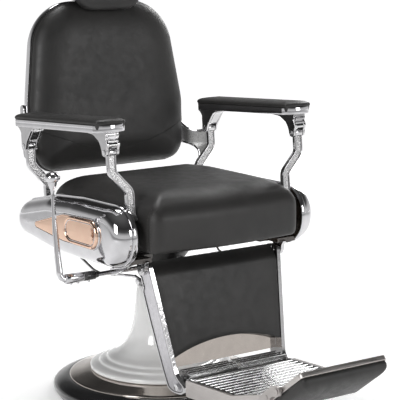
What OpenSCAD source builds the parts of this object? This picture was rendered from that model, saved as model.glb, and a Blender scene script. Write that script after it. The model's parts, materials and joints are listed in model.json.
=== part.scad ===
// Hydraulic barber chair. The chair faces -Y, +Z is up, and the origin is on the
// floor at the centre of the round base. "left" and "right" are the sitter's own
// sides, so the left side is +X. Side parts are drawn on +X and mirrored.

/* [Base] */
// Outer radius of the black cast base
base_r = 305; // [280:5:330]
// Height of the black base's top lip
base_h = 43; // [38:1:46]
// Outer radius of the polished trim ring
trim_r = 258; // [250:1:262]
// Outer radius of the white bell's flange
bell_r = 199; // [190:1:205]
// Height of the top of the white bell
bell_top = 302; // [296:1:306]

/* [Lift] */
// Outer radius of the hydraulic cylinder
cylinder_r = 50; // [48:1:54]
// Radius of the lifting ram
ram_r = 30; // [26:1:32]
// Height of the ram's shoulder with the seat at its lowest
ram_top = 330; // [328:1:334]

/* [Seat] */
// Half the width of the seat cushion
seat_half = 242; // [236:1:243]
// Underside of the seat cushion
seat_z = 464; // [464:1:466]
// Highest point of the seat cushion
seat_top = 618; // [604:1:620]
// Front of the seat cushion, forward of the base's centre
seat_front = 336; // [330:1:345]
// Back edge of the seat cushion, behind the base's centre
seat_rear = 192; // [180:1:194]

/* [Side covers] */
// Inner edge of each side cover, from the chair's centre plane
cover_in = 271; // [271:1:274]
// How far the cover's dome stands out from its rim
dome_depth = 61; // [50:1:64]
// Thickness of the cover's shell
cover_wall = 3; // [2.5:0.5:4]

/* [Arms] */
// Distance of each arm's centre from the chair's centre plane
arm_x = 307; // [304:1:312]
// Width of an arm tray
arm_w = 97; // [90:1:100]
// Thickness of an arm tray
arm_h = 19; // [16:1:21]
// Upward tilt of the arms towards the front, in degrees
arm_tilt = 3.7; // [3:0.1:4.5]
// Height that the arm pad stands above its tray
arm_pad_h = 17; // [12:1:20]

/* [Back] */
// Lean of the back from upright, in degrees
back_lean = 6.2; // [5:0.1:7]
// Height of the back along its own slope
back_h = 470; // [460:1:474]
// Greatest half width of the back
back_half = 256; // [250:1:257]

/* [Legrest] */
// Forward lean of the legrest from upright, in degrees
leg_lean = 13.8; // [13:0.1:14.5]
// Half the gap between the legrest rails at the top
leg_half_top = 207; // [205:1:208]
// Half the gap between the rails at the bottom of the calf pad
leg_half_low = 178; // [177:1:180]
// Length of the calf pad down the slope, at its sides
calf_len = 251; // [240:1:254]

/* [Footplate] */
// Half the width of the footplate
foot_half = 180; // [178:1:182]
// Number of ribs across the footplate
rib_count = 11; // [8:1:12]
// Depth of the flip-over pad's frame, from back to front
flap_depth = 160; // [140:5:165]
// Half the width of the flip-over pad
flap_half = 139; // [134:1:140]

/* [Hidden] */

$fn = 64;
soft_fn = 32;      // facets on rounded soft shapes
fit = 0.05;        // radial running clearance of pins and shafts
gap = 0.5;         // side clearance between parts that swing past each other
eps = 0.01;        // thickness of the slices that hull() joins

// Pivots in the side view, as [y, z]
recline_pivot = [167, 518];
post_pivot = [-238, 550];
arm_link = [16, 177];                          // pivot to arm pin, same front and rear
rear_pin = recline_pivot + arm_link;
front_pin = post_pivot + arm_link;
link_pin = [195, 470];                         // link rod's rear end, on the back casting
leg_pivot = [-245, 414];
leg_link_pin = [-208, 373];                    // link rod's front end, on the rail
foot_pivot = [-336, 111];
flap_pivot = [-706, 184];
lever_axis = [-118, 386];

post_x = 257;      // centre of a post where it passes between seat and cover
post_w = 24;       // width of a post, across the chair
post_t = 14;       // thickness of a post, front to back
pivot_r = 7;
arm_pin_r = 5;
side_plate_x = 270.5;
side_plate_t = 5;
post_lean = atan(arm_link[0] / arm_link[1]);
post_len = norm(arm_link);

leg_origin = [0, -261, 428];                   // front top edge of the legrest
leg_splay = atan((leg_half_top - leg_half_low) / calf_len);
back_origin = [0, 253, 605];                   // bottom of the back's widest plane
arm_origin = [0, -232, 779.5];                 // front underside of the arm trays

module mirrored(side) {
    if (side > 0) children();
    else mirror([1, 0, 0]) children();
}

// Extrudes a side view, drawn as [y, z], across the chair from x0 to x1
module across(x0, x1) {
    translate([x0, 0, 0]) rotate([90, 0, 90]) linear_extrude(x1 - x0) children();
}

// A round bar across the chair at a side-view point
module bar(p, r, x0, x1) {
    translate([x0, p[0], p[1]]) rotate([0, 90, 0]) cylinder(r = r, h = x1 - x0);
}

// Moves children that are drawn on the leaning back, legrest or arm into place
module on_back() {
    translate(back_origin) rotate([-back_lean, 0, 0]) children();
}
module on_leg() {
    translate(leg_origin) rotate([-leg_lean, 0, 0]) children();
}
module on_arm() {
    translate(arm_origin) rotate([-arm_tilt, 0, 0]) children();
}

// ---- Helpers for repeated shapes ----

// A straight or tapered rod between two points
module rod(a, b, r1, r2) {
    d = b - a;
    translate(a) rotate([0, acos(d[2] / norm(d)), atan2(d[1], d[0])])
        cylinder(r1 = r1, r2 = r2, h = norm(d));
}

// A bent round bar through a list of points, with ball-shaped bends
module bent_rod(points, r) {
    for (i = [0:len(points) - 2]) {
        rod(points[i], points[i + 1], r, r);
        if (i > 0) translate(points[i]) sphere(r = r + 0.5);
    }
}

module ring_of(count, r) {
    for (i = [0:count - 1]) rotate([0, 0, i * 360 / count]) translate([r, 0, 0]) children();
}

// ---- Base ----

deck_z = 27;          // top of the casting's disc, inside its raised rim
flange_h = 10;        // thickness of the cylinder's foot flange
bolt_ring_r = 85;
cylinder_bore = 42;
cylinder_top = 300;
gland_top = 316;

module floor_pad() {
    color("dimgray") cylinder(r = base_r - 9, h = 4);
}

module base_casting() {
    color([0.08, 0.08, 0.09]) difference() {
        rotate_extrude() polygon([[cylinder_r + 2, deck_z - 8], [base_r - 70, deck_z - 8],
            [base_r - 36, deck_z], [base_r - 24, deck_z - 5], [base_r - 23, 4], [base_r - 6, 4], [base_r - 1, 10], [base_r, 18], [base_r - 1, 25],
            [base_r - 6, 31], [base_r - 16, 36.5], [base_r - 30, 40.5],
            [trim_r + 2, base_h], [trim_r - 10, base_h - 1], [trim_r - 14, deck_z],
            [cylinder_r + 2, deck_z]]);
        ring_of(6, bolt_ring_r) translate([0, 0, 5]) cylinder(r = 5.5, h = 30);
    }
}

// Polished ring that slopes from the bell's foot to the black rim
module base_trim() {
    color("silver") rotate_extrude()
        polygon([[bell_r - 24, 60], [bell_r - 10, 62], [bell_r + 14, 60], [trim_r - 30, 55],
            [trim_r - 10, 48.5], [trim_r, base_h + 0.8], [trim_r - 4, base_h + 0.2],
            [trim_r - 13, 45.4], [trim_r - 32, 51.5], [bell_r + 12, 57], [bell_r - 10, 59],
            [bell_r - 24, 57]]);
}

// White enamelled bell: flange, two steps, flare and slim neck
module base_bell() {
    wall = 4;
    outer = [[bell_r - 4, 62.5], [bell_r, 66], [bell_r, 71], [bell_r - 5, 76],
        [bell_r - 25, 82], [bell_r - 28, 87], [bell_r - 45, 92], [bell_r - 49, 98],
        [bell_r - 73, 108], [bell_r - 88, 120], [bell_r - 100, 134], [bell_r - 110, 151],
        [bell_r - 117, 170], [bell_r - 122, 192], [bell_r - 125, 216],
        [bell_r - 128, 242], [bell_r - 131, 268], [bell_r - 134, bell_top]];
    last = len(outer) - 1;
    inner = [for (i = [last:-1:1]) outer[i] - [wall, i == last || i > 12 ? 0 : wall]];
    color("white") rotate_extrude() polygon(concat(outer, inner, [[bell_r - 9, 62.5]]));
}

module hydraulic_cylinder() {
    color("gray") difference() {
        union() {
            translate([0, 0, 12]) cylinder(r = cylinder_r, h = cylinder_top - 12);
            translate([0, 0, deck_z]) cylinder(r = bolt_ring_r + 16, h = flange_h);
        }
        translate([0, 0, 22]) cylinder(r = cylinder_bore, h = cylinder_top);
        ring_of(6, bolt_ring_r) translate([0, 0, deck_z - 1]) cylinder(r = 5.5, h = 20);
    }
}

module gland_nut() {
    color("darkgray") rotate_extrude()
        polygon([[ram_r + fit, cylinder_top - 12], [cylinder_bore - fit, cylinder_top - 12],
            [cylinder_bore - fit, cylinder_top], [cylinder_r + 6, cylinder_top],
            [cylinder_r + 6, gland_top - 4], [cylinder_r, gland_top], [ram_r + fit, gland_top]]);
}

module base_bolts() {
    top = deck_z + flange_h;
    color("gray") ring_of(6, bolt_ring_r) {
        translate([0, 0, 14]) cylinder(r = 5, h = top - 14);
        translate([0, 0, top]) cylinder(r = 8.5, h = 7);
    }
}

// ---- Lift ----

piston_z = 26;
piston_h = 22;
washer_h = 4;
hub_z = ram_top + washer_h;
hub_h = 50;
spigot_r = 24;
thread_r = 16;
yoke_z = 424;         // underside of the yoke's top plate
frame_z = 434;        // underside of the seat frame
frame_h = 12;

module ram() {
    color("silver") {
        translate([0, 0, piston_z + piston_h]) cylinder(r = ram_r, h = ram_top - piston_z - piston_h);
        translate([0, 0, ram_top]) cylinder(r = spigot_r, h = washer_h + hub_h);
        translate([0, 0, hub_z + hub_h]) cylinder(r = thread_r, h = 20);
    }
}

module piston() {
    color("gray") translate([0, 0, piston_z]) difference() {
        cylinder(r = cylinder_bore - fit, h = piston_h);
        translate([0, 0, 8]) rotate_extrude() translate([cylinder_bore - 5, 0]) square([6, 6]);
    }
}

module piston_seal() {
    color("black") translate([0, 0, piston_z + 8]) rotate_extrude()
        translate([cylinder_bore - 5, 0]) square([5 - fit, 6]);
}

module thrust_washer() {
    color("gold") translate([0, 0, ram_top]) rotate_extrude()
        translate([spigot_r, 0]) square([16, washer_h]);
}

module swivel_nut() {
    color("gray") translate([0, 0, hub_z + hub_h + 0.3]) difference() {
        cylinder(r = 29, h = 16, $fn = 6);
        translate([0, 0, -1]) cylinder(r = thread_r, h = 18);
    }
}

// ---- Seat structure ----

module yoke_body() {
    rotate_extrude() polygon([[spigot_r + fit, hub_z], [56, hub_z], [58, hub_z + 4],
        [58, hub_z + 20], [68, hub_z + 44], [90, yoke_z - 16], [110, yoke_z],
        [110, frame_z], [98, frame_z], [98, yoke_z], [78, yoke_z - 14], [54, hub_z + 52],
        [36, hub_z + hub_h], [spigot_r + fit, hub_z + hub_h]]);
}

module yoke() {
    color([0.12, 0.12, 0.12]) {
        yoke_body();
        translate([0, 0, yoke_z]) difference() {
            translate([-165, -115, 0]) cube([330, 230, frame_z - yoke_z]);
            translate([0, 0, -1]) cylinder(r = 109, h = 20);
        }
    }
}

// Side outline of a side cover, tall in front and narrower behind
module cover_outline(inset) {
    offset(delta = -inset) hull() {
        translate([-209, 503]) circle(r = 84, $fn = soft_fn * 2);
        translate([-60, 500]) circle(r = 85, $fn = soft_fn * 2);
        translate([60, 497]) circle(r = 78, $fn = soft_fn * 2);
        translate([190, 491]) circle(r = 55, $fn = soft_fn * 2);
    }
}

// Steel tray that carries the seat, with arms out to the pivot plates and lugs
// for the legrest hinge
module seat_frame() {
    color([0.15, 0.15, 0.15]) {
        difference() {
            translate([-195, -150, frame_z]) cube([390, 335, frame_h]);
            translate([-175, -130, frame_z + 4]) cube([350, 295, frame_h]);
        }
        for (side = [-1, 1]) mirrored(side) {
            translate([178, -222, frame_z]) cube([92.5, 24, frame_h]);
            translate([209, -262, frame_z]) cube([61.5, 42, frame_h]);
            translate([270, -246, frame_z]) cube([2, 48, frame_h]);
            translate([178, -199, frame_z]) cube([17, 60, frame_h]);
            translate([195, 20, frame_z]) cube([77, 30, frame_h]);
            difference() {
                union() {
                    across(222, 231) polygon([leg_pivot + [-13, 2], leg_pivot + [-15, 20],
                        leg_pivot + [15, 20], leg_pivot + [13, 2]]);
                    bar(leg_pivot, 14, 222, 231);
                }
                bar(leg_pivot, 6, 221, 232);
            }
            difference() {
                across(272, 277) polygon([[-280, 472], [-256, 443], [-198, frame_z],
                    [60, frame_z], [190, 462], [226, 490], [222, 512], [150, 545],
                    [-80, 566], [-230, 572], [-268, 550], [-286, 510]]);
                bar(recline_pivot, pivot_r, 271, 278);
                bar(post_pivot, pivot_r, 271, 278);
            }
        }
    }
}

module arm_pivot_pins() {
    color("silver") for (side = [-1, 1]) mirrored(side)
        for (p = [recline_pivot, post_pivot]) {
            bar(p, pivot_r, 244.6, 279);
            bar(p, 10, 242.6, 244.6);
        }
}

module legrest_hinge_pins() {
    color("silver") for (side = [-1, 1]) mirrored(side) {
        bar(leg_pivot, 6, 206.6, 231);
        bar(leg_pivot, 9, 231, 234);
    }
}

module seat_board() {
    color("burlywood") translate([-210, -200, frame_z + frame_h])
        cube([420, 378, seat_z - frame_z - frame_h]);
}

// Plan outline of the seat cushion, bowed in front
module seat_outline(inset) {
    offset(delta = -inset) hull() for (side = [-1, 1]) {
        translate([side * (seat_half - 42), seat_rear - 42]) circle(r = 42, $fn = soft_fn);
        translate([side * (seat_half - 34), -288]) circle(r = 34, $fn = soft_fn);
        translate([side * 40, 165 - seat_front]) circle(r = 165, $fn = soft_fn * 2);
    }
}

module slice(z, h = eps) {
    translate([0, 0, z]) linear_extrude(h) children();
}

module seat_cushion() {
    color([0.13, 0.13, 0.13]) hull() {
        slice(seat_z) seat_outline(8);
        slice(seat_z + 14) seat_outline(0);
        slice(seat_z + 84) seat_outline(0);
        slice(seat_top - 31) seat_outline(13);
        slice(seat_top - 11) seat_outline(38);
        slice(seat_top) seat_outline(80);
    }
}

// ---- Side covers ----

// Domed solid of a side cover, drawn as [y, z] slices stacked along X
module cover_solid() {
    rotate([90, 0, 90]) hull() {
        slice(cover_in, 14) cover_outline(0);
        slice(cover_in + dome_depth * 0.44) cover_outline(4);
        slice(cover_in + dome_depth * 0.68) cover_outline(10);
        slice(cover_in + dome_depth * 0.84) cover_outline(20);
        slice(cover_in + dome_depth * 0.94) cover_outline(36);
        slice(cover_in + dome_depth) cover_outline(74);
    }
}

// The cover's hollow is cut in straight steps that follow the dome
module side_cover(side) {
    color("silver") mirrored(side) difference() {
        cover_solid();
        rotate([90, 0, 90]) {
            slice(cover_in - 1, 15) cover_outline(cover_wall);
            slice(cover_in + 13, 12) cover_outline(11);
            slice(cover_in + 24, 11) cover_outline(21);
            slice(cover_in + 34, 10) cover_outline(34);
            slice(cover_in + 43, 9) cover_outline(52);
        }
    }
}

// Copper teardrop badge with a raised oval at its front end, following the dome
module medallions() {
    color([0.85, 0.6, 0.48]) for (side = [-1, 1]) mirrored(side) difference() {
        union() {
            intersection() {
                translate([3, 0, 0]) cover_solid();
                rotate([90, 0, 90]) slice(300, 60) teardrop_outline(0);
            }
            intersection() {
                translate([8, 0, 0]) cover_solid();
                rotate([90, 0, 90]) slice(300, 60) oval_outline(0);
            }
        }
        cover_solid();
    }
}

module teardrop_outline(inset) {
    offset(delta = -inset) hull() {
        translate([-163, 506]) circle(r = 42, $fn = soft_fn);
        translate([-30, 503]) circle(r = 39, $fn = soft_fn);
        translate([112, 490]) circle(r = 11, $fn = soft_fn);
    }
}

module oval_outline(inset) {
    offset(delta = -inset) hull() {
        translate([-164, 506]) circle(r = 38, $fn = soft_fn);
        translate([-75, 505]) circle(r = 37, $fn = soft_fn);
    }
}

// ---- Pump lever, on the sitter's right ----

lever_x = -397;       // plane of the hand lever
socket_x = [-385, -290];
hanger_x = [-239, -232];
crank_r = 20;
plunger_y = lever_axis[0] + crank_r;
plunger_r = 8;

module lever_hanger() {
    color("silver") difference() {
        union() {
            across(hanger_x[0], hanger_x[1]) polygon([[-222, frame_z], [-200, frame_z],
                lever_axis + [-4, 9], lever_axis + [-8, -8], [-214, 421]]);
            bar(lever_axis, 12, hanger_x[0], hanger_x[1]);
        }
        bar(lever_axis, 6 + fit, hanger_x[0] - 1, hanger_x[1] + 1);
    }
}

module lever_arm() {
    color("silver") {
        elbow = [lever_x, lever_axis[0], lever_axis[1]];
        bar(lever_axis, 9, lever_x, -346);
        translate(elbow) sphere(r = 13);
        rod(elbow, [lever_x, -97, 489], 11, 9);
        translate([lever_x, -97, 489]) sphere(r = 10);
        rod([lever_x, -97, 489], [lever_x, -83, 604], 9, 5.5);
        translate([lever_x, -83, 604]) sphere(r = 6.5);
        rod([lever_x, -83, 604], [lever_x, -83, 640], 5.5, 11);
    }
}

module lever_knob() {
    color("silver") translate([lever_x, -83, 640]) rotate_extrude()
        polygon([[0, 0], [13, 0], [19, 5], [21, 11], [20, 17], [15, 22], [8, 25], [0, 26]]);
}

module lever_socket() {
    color([0.1, 0.1, 0.1]) difference() {
        bar(lever_axis, 13, socket_x[0], socket_x[1]);
        bar(lever_axis, 9 + fit, socket_x[0] - 1, -345);
        bar(lever_axis, 6 + fit, -335, socket_x[1] + 1);
        for (x = [-366, -312]) translate([x, lever_axis[0], lever_axis[1] - 20])
            cylinder(r = 4, h = 20);
    }
}

module socket_screws() {
    color("silver") {
        translate([-366, lever_axis[0], lever_axis[1] - 17]) cylinder(r = 3.8, h = 7.5);
        translate([-312, lever_axis[0], lever_axis[1] - 17]) cylinder(r = 3.8, h = 10.5);
    }
}

module lever_shaft() {
    color("silver") {
        bar(lever_axis, 6, -334, -9);
        difference() {
            across(-9, -3) polygon([lever_axis + [-11, -8], lever_axis + [-11, 8],
                [plunger_y + 5, lever_axis[1] + 6], [plunger_y + 5, lever_axis[1] - 6]]);
            bar([plunger_y, lever_axis[1]], 4, -10, -2);
        }
        bar([plunger_y, lever_axis[1]], 4, -10, 8);
    }
}

// Plunger with a cross slot that the crank pin drives up and down
module pump_plunger() {
    slot_r = 4.6;
    color("silver") difference() {
        union() {
            translate([0, plunger_y, 344]) cylinder(r = plunger_r, h = 30);
            translate([-2, plunger_y - 13, 372]) cube([10, 26, 22]);
        }
        translate([-9, plunger_y - 7, lever_axis[1] - slot_r]) cube([24, 14, 2 * slot_r]);
    }
}

module pump_body() {
    color([0.2, 0.2, 0.2]) difference() {
        translate([-24, plunger_y - 18, hub_z + 2]) cube([48, 60, 26]);
        yoke_body();
        cylinder(r = 50, h = 400);
        translate([0, plunger_y, hub_z]) cylinder(r = plunger_r + fit, h = 60);
    }
}

// ---- Arm linkage ----

function ease(t) = t * t * (3 - 2 * t);
function post_x_at(s) = post_x + (arm_x - post_x) * ease(min(1, max(0, (s - 60) / 76)));

// S-shaped strap, drawn upright from its pivot at the origin
module post_strap() {
    steps = 18;
    path = concat([[post_x, 0]],
        [for (i = [0:steps - 2]) let(s = 60 + 76 * i / (steps - 2)) [post_x_at(s), s]],
        [[arm_x, post_len]]);
    rotate([90, 0, 0]) linear_extrude(post_t, center = true) polygon(concat(
        [for (p = path) p - [post_w / 2, 0]],
        [for (i = [steps:-1:0]) path[i] + [post_w / 2, 0]]));
}

module at_pivot(p) {
    translate([0, p[0], p[1]]) rotate([-post_lean, 0, 0]) children();
}

module post_with_eyes(p, top_bore) {
    difference() {
        union() {
            at_pivot(p) post_strap();
            bar(p, 13, post_x - post_w / 2 + 0.5, post_x + post_w / 2 + 1.5);
            bar(p + arm_link, 11, arm_x - post_w / 2 + 0.4, arm_x + post_w / 2 - 0.4);
        }
        bar(p, pivot_r + fit, 200, 300);
        bar(p + arm_link, top_bore, 280, 340);
    }
}

module front_post(side) {
    color("silver") mirrored(side) post_with_eyes(post_pivot, arm_pin_r + 1.2);
}

// Rear post, bracket to the back and lower crank for the link rod, in one casting
module back_casting(side) {
    color("silver") mirrored(side) {
        post_with_eyes(recline_pivot, arm_pin_r + fit);
        difference() {
            hull() {
                translate([297, 181, 632]) cube([12, 12, 42]);
                translate([261, 262, 650]) cube([9, 16, 60]);
            }
            at_pivot(recline_pivot) translate([0, -post_t / 2, 0]) cube([400, post_t, 400]);
        }
        on_back() translate([261, 8, 40]) cube([9, 18, 152]);
        difference() {
            across(258, 269) polygon([recline_pivot + [-8, -10], recline_pivot + [11, -7],
                link_pin + [9, 5], link_pin + [-9, -5]]);
            bar(recline_pivot, 13, 257, 270);
        }
        bar(link_pin, 10, 258, 269);
        bar(link_pin, 4, 248, 258);
    }
}

link_x = [206.8, 212.6];   // the link rod's front eye, beside the rail's lug

module link_rod(side) {
    mid = (link_x[0] + link_x[1]) / 2;
    color("silver") mirrored(side) difference() {
        union() {
            bar(leg_link_pin, 9, link_x[0], link_x[1]);
            bar(link_pin, 10, 249.5, 256);
            bent_rod([[mid, -204, 379], [mid, -186, 383], [mid, -13, 360], [214, 12, 365],
                [252.7, link_pin[0] - 6, link_pin[1] - 3]], 4);
        }
        bar(leg_link_pin, 4 + fit, 200, 220);
        bar(link_pin, 5.4, 240, 256.1);
    }
}

// ---- Armrests ----

// Plan outline of an arm, with a gently bowed front end
module arm_outline(inset) {
    half = arm_w / 2 - inset;
    front = inset;
    corner = 10;
    rear = 424 - inset;
    polygon(concat(
        [for (i = [0:8]) let(t = i / 4 - 1) [t * (half - corner), front - 8 * (1 - t * t)]],
        [[half, front + corner], [half, rear - corner], [half - corner, rear],
            [corner - half, rear], [-half, rear - corner], [-half, front + corner]]));
}

module arm_tray(side) {
    color("silver") mirrored(side) on_arm() translate([arm_x, 0, 0]) difference() {
        linear_extrude(arm_h) arm_outline(0);
        translate([0, 0, 6]) linear_extrude(arm_h) arm_outline(4);
    }
}

module arm_pad(side) {
    color([0.12, 0.12, 0.12]) mirrored(side) on_arm() translate([arm_x, 0, 0]) hull() {
        slice(6.2, arm_h - 8) arm_outline(5);
        slice(arm_h + arm_pad_h * 0.6) arm_outline(7);
        slice(arm_h + arm_pad_h) arm_outline(24);
    }
}

// Side view of one clevis; flare is the length of its foot under the tray
module clevis_profile(pin, foot_z, near, flare) {
    polygon([pin + [-11, -5], pin + [-11, 8], [pin[0] + near, foot_z],
        [pin[0] + flare, foot_z], [pin[0] + flare * 0.72, foot_z - 6],
        [pin[0] + flare * 0.42, foot_z - 20], pin + [11 * sign(flare) * -1, 12],
        pin + [11, 8], pin + [11, -5], pin + [6, -10.5], pin + [-6, -10.5]]);
}

module clevis(pin, profile_points) {
    inner = post_w / 2 + gap;
    outer = 20;
    difference() {
        across(arm_x - outer, arm_x + outer) polygon(profile_points);
        across(arm_x - inner, arm_x + inner) polygon([pin + [-60, -20], pin + [-60, 8],
            pin + [-14, 16], pin + [14, 16], pin + [60, 8], pin + [60, -20]]);
        bar(pin, arm_pin_r, 200, 400);
        on_arm() translate([200, -100, 0]) cube([200, 700, 100]);
    }
}

module arm_brackets(side) {
    f = front_pin;
    r = rear_pin;
    color("silver") mirrored(side) {
        clevis(f, [f + [-5, -11], f + [-11, -5], f + [-11, 10], f + [-16, 30], f + [-12, 60],
            f + [82, 60], f + [82, 46], f + [60, 40], f + [34, 24], f + [18, 6],
            f + [11, -5], f + [5, -11]]);
        clevis(r, [r + [5, -11], r + [11, -5], r + [11, 20], r + [8, 64], r + [-108, 72],
            r + [-108, 60], r + [-70, 52], r + [-36, 32], r + [-18, 8], r + [-11, -5],
            r + [-5, -11]]);
    }
}

module arm_pins(side) {
    color("silver") mirrored(side) for (p = [front_pin, rear_pin]) {
        bar(p, arm_pin_r, arm_x - 20, arm_x + 20);
        bar(p, 8, arm_x - 22, arm_x - 20);
        bar(p, 8, arm_x + 20, arm_x + 22);
    }
}

// ---- Back ----

module back_outline(inset) {
    offset(delta = -inset) hull() for (side = [-1, 1]) {
        translate([side * (back_half - 66), 58]) circle(r = 58, $fn = soft_fn);
        translate([side * (back_half - 150), 170]) circle(r = 150, $fn = soft_fn * 2);
        translate([side * (back_half - 163), back_h - 140]) circle(r = 140, $fn = soft_fn * 2);
    }
}

// A slice of the back's outline; n is how far behind the widest plane it lies
module back_slice(n, inset, h = eps) {
    translate([0, n + h, 0]) rotate([90, 0, 0]) linear_extrude(h) back_outline(inset);
}

module back_cushion() {
    color([0.13, 0.13, 0.13]) on_back() hull() {
        back_slice(-5, 1, 10);
        back_slice(-30, 8);
        back_slice(-48, 26);
        back_slice(-60, 60);
    }
}

module back_board() {
    color("burlywood") on_back() back_slice(5.2, 8, 11);
}

module shell_solid() {
    hull() {
        back_slice(-5, -4, 25);
        back_slice(40, 16);
        back_slice(52, 50);
        back_slice(shell_n, 96);
    }
}

// The shell's hollow is cut in straight steps that follow the dome
module back_shell() {
    color("silver") on_back() difference() {
        shell_solid();
        back_slice(-6, -1, 26);
        back_slice(19, 8, 9);
        back_slice(27, 16, 8);
        back_slice(34, 26, 8);
        back_slice(41, 48, 8);
        back_slice(48, 76, 6);
    }
}

// ---- Headrest ----

shell_n = 58;              // how far the back's shell stands out behind
bar_n = [63, 71];          // the headrest bar's front and rear faces
bar_half = 15;
bar_low = 205;
head_v = 520;              // the headrest's tilt pivot, along the back's slope
head_n = 67;
head_half = 124;

module headrest_socket() {
    clear = 0.3;
    color("silver") on_back() difference() {
        translate([-28, shell_n + 0.03, 296]) cube([56, 20, 74]);
        translate([-bar_half - clear, bar_n[0] - clear, 290])
            cube([2 * (bar_half + clear), bar_n[1] - bar_n[0] + 2 * clear, 90]);
    }
}

module headrest_bar() {
    color("silver") on_back() difference() {
        union() {
            translate([-bar_half, bar_n[0], bar_low])
                cube([2 * bar_half, bar_n[1] - bar_n[0], head_v - 14 - bar_low]);
            translate([-8, bar_n[0], head_v - 15]) cube([16, bar_n[1] - bar_n[0], 15]);
            translate([-8, head_n, head_v]) rotate([0, 90, 0]) cylinder(r = 9, h = 16);
        }
        translate([-9, head_n, head_v]) rotate([0, 90, 0]) cylinder(r = 5 + fit, h = 18);
    }
}

module headrest_bracket() {
    color("silver") on_back() {
        for (x = [-14.5, 8.5]) translate([x, 0, 0]) {
            translate([0, head_n, head_v]) rotate([0, 90, 0]) cylinder(r = 9, h = 6);
            translate([0, 43, head_v - 9]) cube([6, head_n - 43, 18]);
        }
        translate([-14.5, head_n, head_v]) rotate([0, 90, 0]) cylinder(r = 5, h = 29);
        translate([-40, 38.2, head_v - 16]) cube([80, 5, 32]);
    }
}

// Oval outline of the headrest, seen from the front
module head_outline(low, high, inset) {
    r = (high - low) / 2 - inset;
    offset(delta = -inset) hull() for (side = [-1, 1])
        translate([side * (head_half - (high - low) / 2), (high + low) / 2])
            circle(r = (high - low) / 2, $fn = soft_fn * 2);
}

module head_slice(n, low, high, inset, h = eps) {
    translate([0, n + h, 0]) rotate([90, 0, 0]) linear_extrude(h) head_outline(low, high, inset);
}

module headrest_pad() {
    color([0.13, 0.13, 0.13]) on_back() hull() {
        head_slice(-37, 465, 588, 2, 1);
        head_slice(-48, 448, 588, 0);
        head_slice(-60, 440, 588, 9);
        head_slice(-66, 440, 588, 30);
    }
}

module headrest_shell() {
    color([0.1, 0.1, 0.1]) on_back() hull() {
        head_slice(-35.6, 474, 586, 3, 40);
        head_slice(24, 474, 586, 12);
        head_slice(38, 474, 586, 34);
    }
}

// ---- Legrest ----

rail_t = 12;

module rail_plate() {
    on_leg() translate([leg_half_top, 0, 0]) rotate([0, leg_splay, 0]) across(0, rail_t)
        polygon([[0, -14], [2, -3], [9, 4], [18, 7], [44, 7], [54, 3], [58, -6],
            [58, -20], [50, -30], [50, -56], [58, -66], [58, -144], [54, -252], [50, -316], [45, -331], [28, -341], [6, -346],
            [-10, -346], [-20, -341], [-25, -331], [-22, -320], [-10, -308],
            [-2, -294], [0, -276]]);
}

module legrest_rail(side) {
    color("silver") mirrored(side) {
        difference() {
            union() {
                rail_plate();
                difference() {
                    bar(leg_link_pin, 9, 214.2, 219);
                    rail_plate();
                }
            }
            bar(leg_pivot, 6 + fit, 200, 222);
            bar(foot_pivot, 6, 160, 190);
        }
        bar(leg_link_pin, 4, 205.5, 214.2);
    }
}

// Half the space between the rails at a distance down the slope
function leg_half(s) = leg_half_top - s * tan(leg_splay);

panel_len = 276;

module kick_panel() {
    n = 25;
    side_gap = 1.2;
    color("silver") on_leg() translate([0, n + 2, 0]) rotate([90, 0, 0]) linear_extrude(2)
        polygon([[-leg_half(6) + side_gap, -6], [leg_half(6) - side_gap, -6],
            [leg_half(panel_len) - side_gap, -panel_len],
            [side_gap - leg_half(panel_len), -panel_len]]);
}

module calf_pad() {
    rise = 33;
    inset = 1.4;
    arch_r = (pow(leg_half_low, 2) + pow(rise, 2)) / (2 * rise);
    color([0.13, 0.13, 0.13]) on_leg() translate([0, 24.8, 0]) rotate([90, 0, 0])
        linear_extrude(27) difference() {
            polygon([[inset - leg_half(6), -6], [20 - leg_half_top, 4], [leg_half_top - 20, 4],
                [leg_half(6) - inset, -6], [leg_half_low - inset, -calf_len],
                [inset - leg_half_low, -calf_len]]);
            translate([0, -calf_len + rise - arch_r]) circle(r = arch_r, $fn = 360);
        }
}

module footplate_pins() {
    color("silver") for (side = [-1, 1]) mirrored(side) {
        bar(foot_pivot, 6, 147, 184);
        bar(foot_pivot, 10, 184, 187);
    }
}

// ---- Footplate, drawn from its pivot and raised slightly in front ----

foot_tilt = 2;
deck_low = 13;
deck_top = 18;
rib_h = 8;
rib_w = 10;
rib_pitch = 21;
rib_start = -44;

module on_foot() {
    translate([0, foot_pivot[0], foot_pivot[1]]) rotate([-foot_tilt, 0, 0]) children();
}

deck_front = rib_start - rib_count * rib_pitch + 8;

// Half width of the ribbed plate, which narrows in front between the side arms
function deck_half(y) = foot_half - 8.3 - 0.5 * max(0, -232 - y);

module foot_grille() {
    color("silver") on_foot() {
        slice(deck_low, deck_top - deck_low) polygon([[-deck_half(0), -30],
            [-deck_half(0), -232], [-deck_half(deck_front), deck_front],
            [deck_half(deck_front), deck_front], [deck_half(0), -232], [deck_half(0), -30]]);
        for (i = [0:rib_count - 1]) let(y = rib_start - i * rib_pitch,
                half = deck_half(y - rib_w))
            translate([-half, y - rib_w, deck_top]) cube([2 * half, rib_w, rib_h]);
        translate([-160, -30, 30]) cube([320, 52, 7]);
        for (y = [-28, -11, 8]) translate([-158, y, 36]) cube([316, rib_w, 4]);
        translate([-160, -30, deck_low]) cube([320, 6, 18]);
        for (side = [-1, 1]) mirrored(side) difference() {
            union() {
                across(148, 167) polygon([[-30, deck_low], [-11, -8], [11, -8], [18, 20],
                    [18, 30], [-30, 30]]);
                bar([0, 0], 13, 148, 167);
            }
            bar([0, 0], 6 + fit, 147, 168);
        }
    }
}

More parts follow.
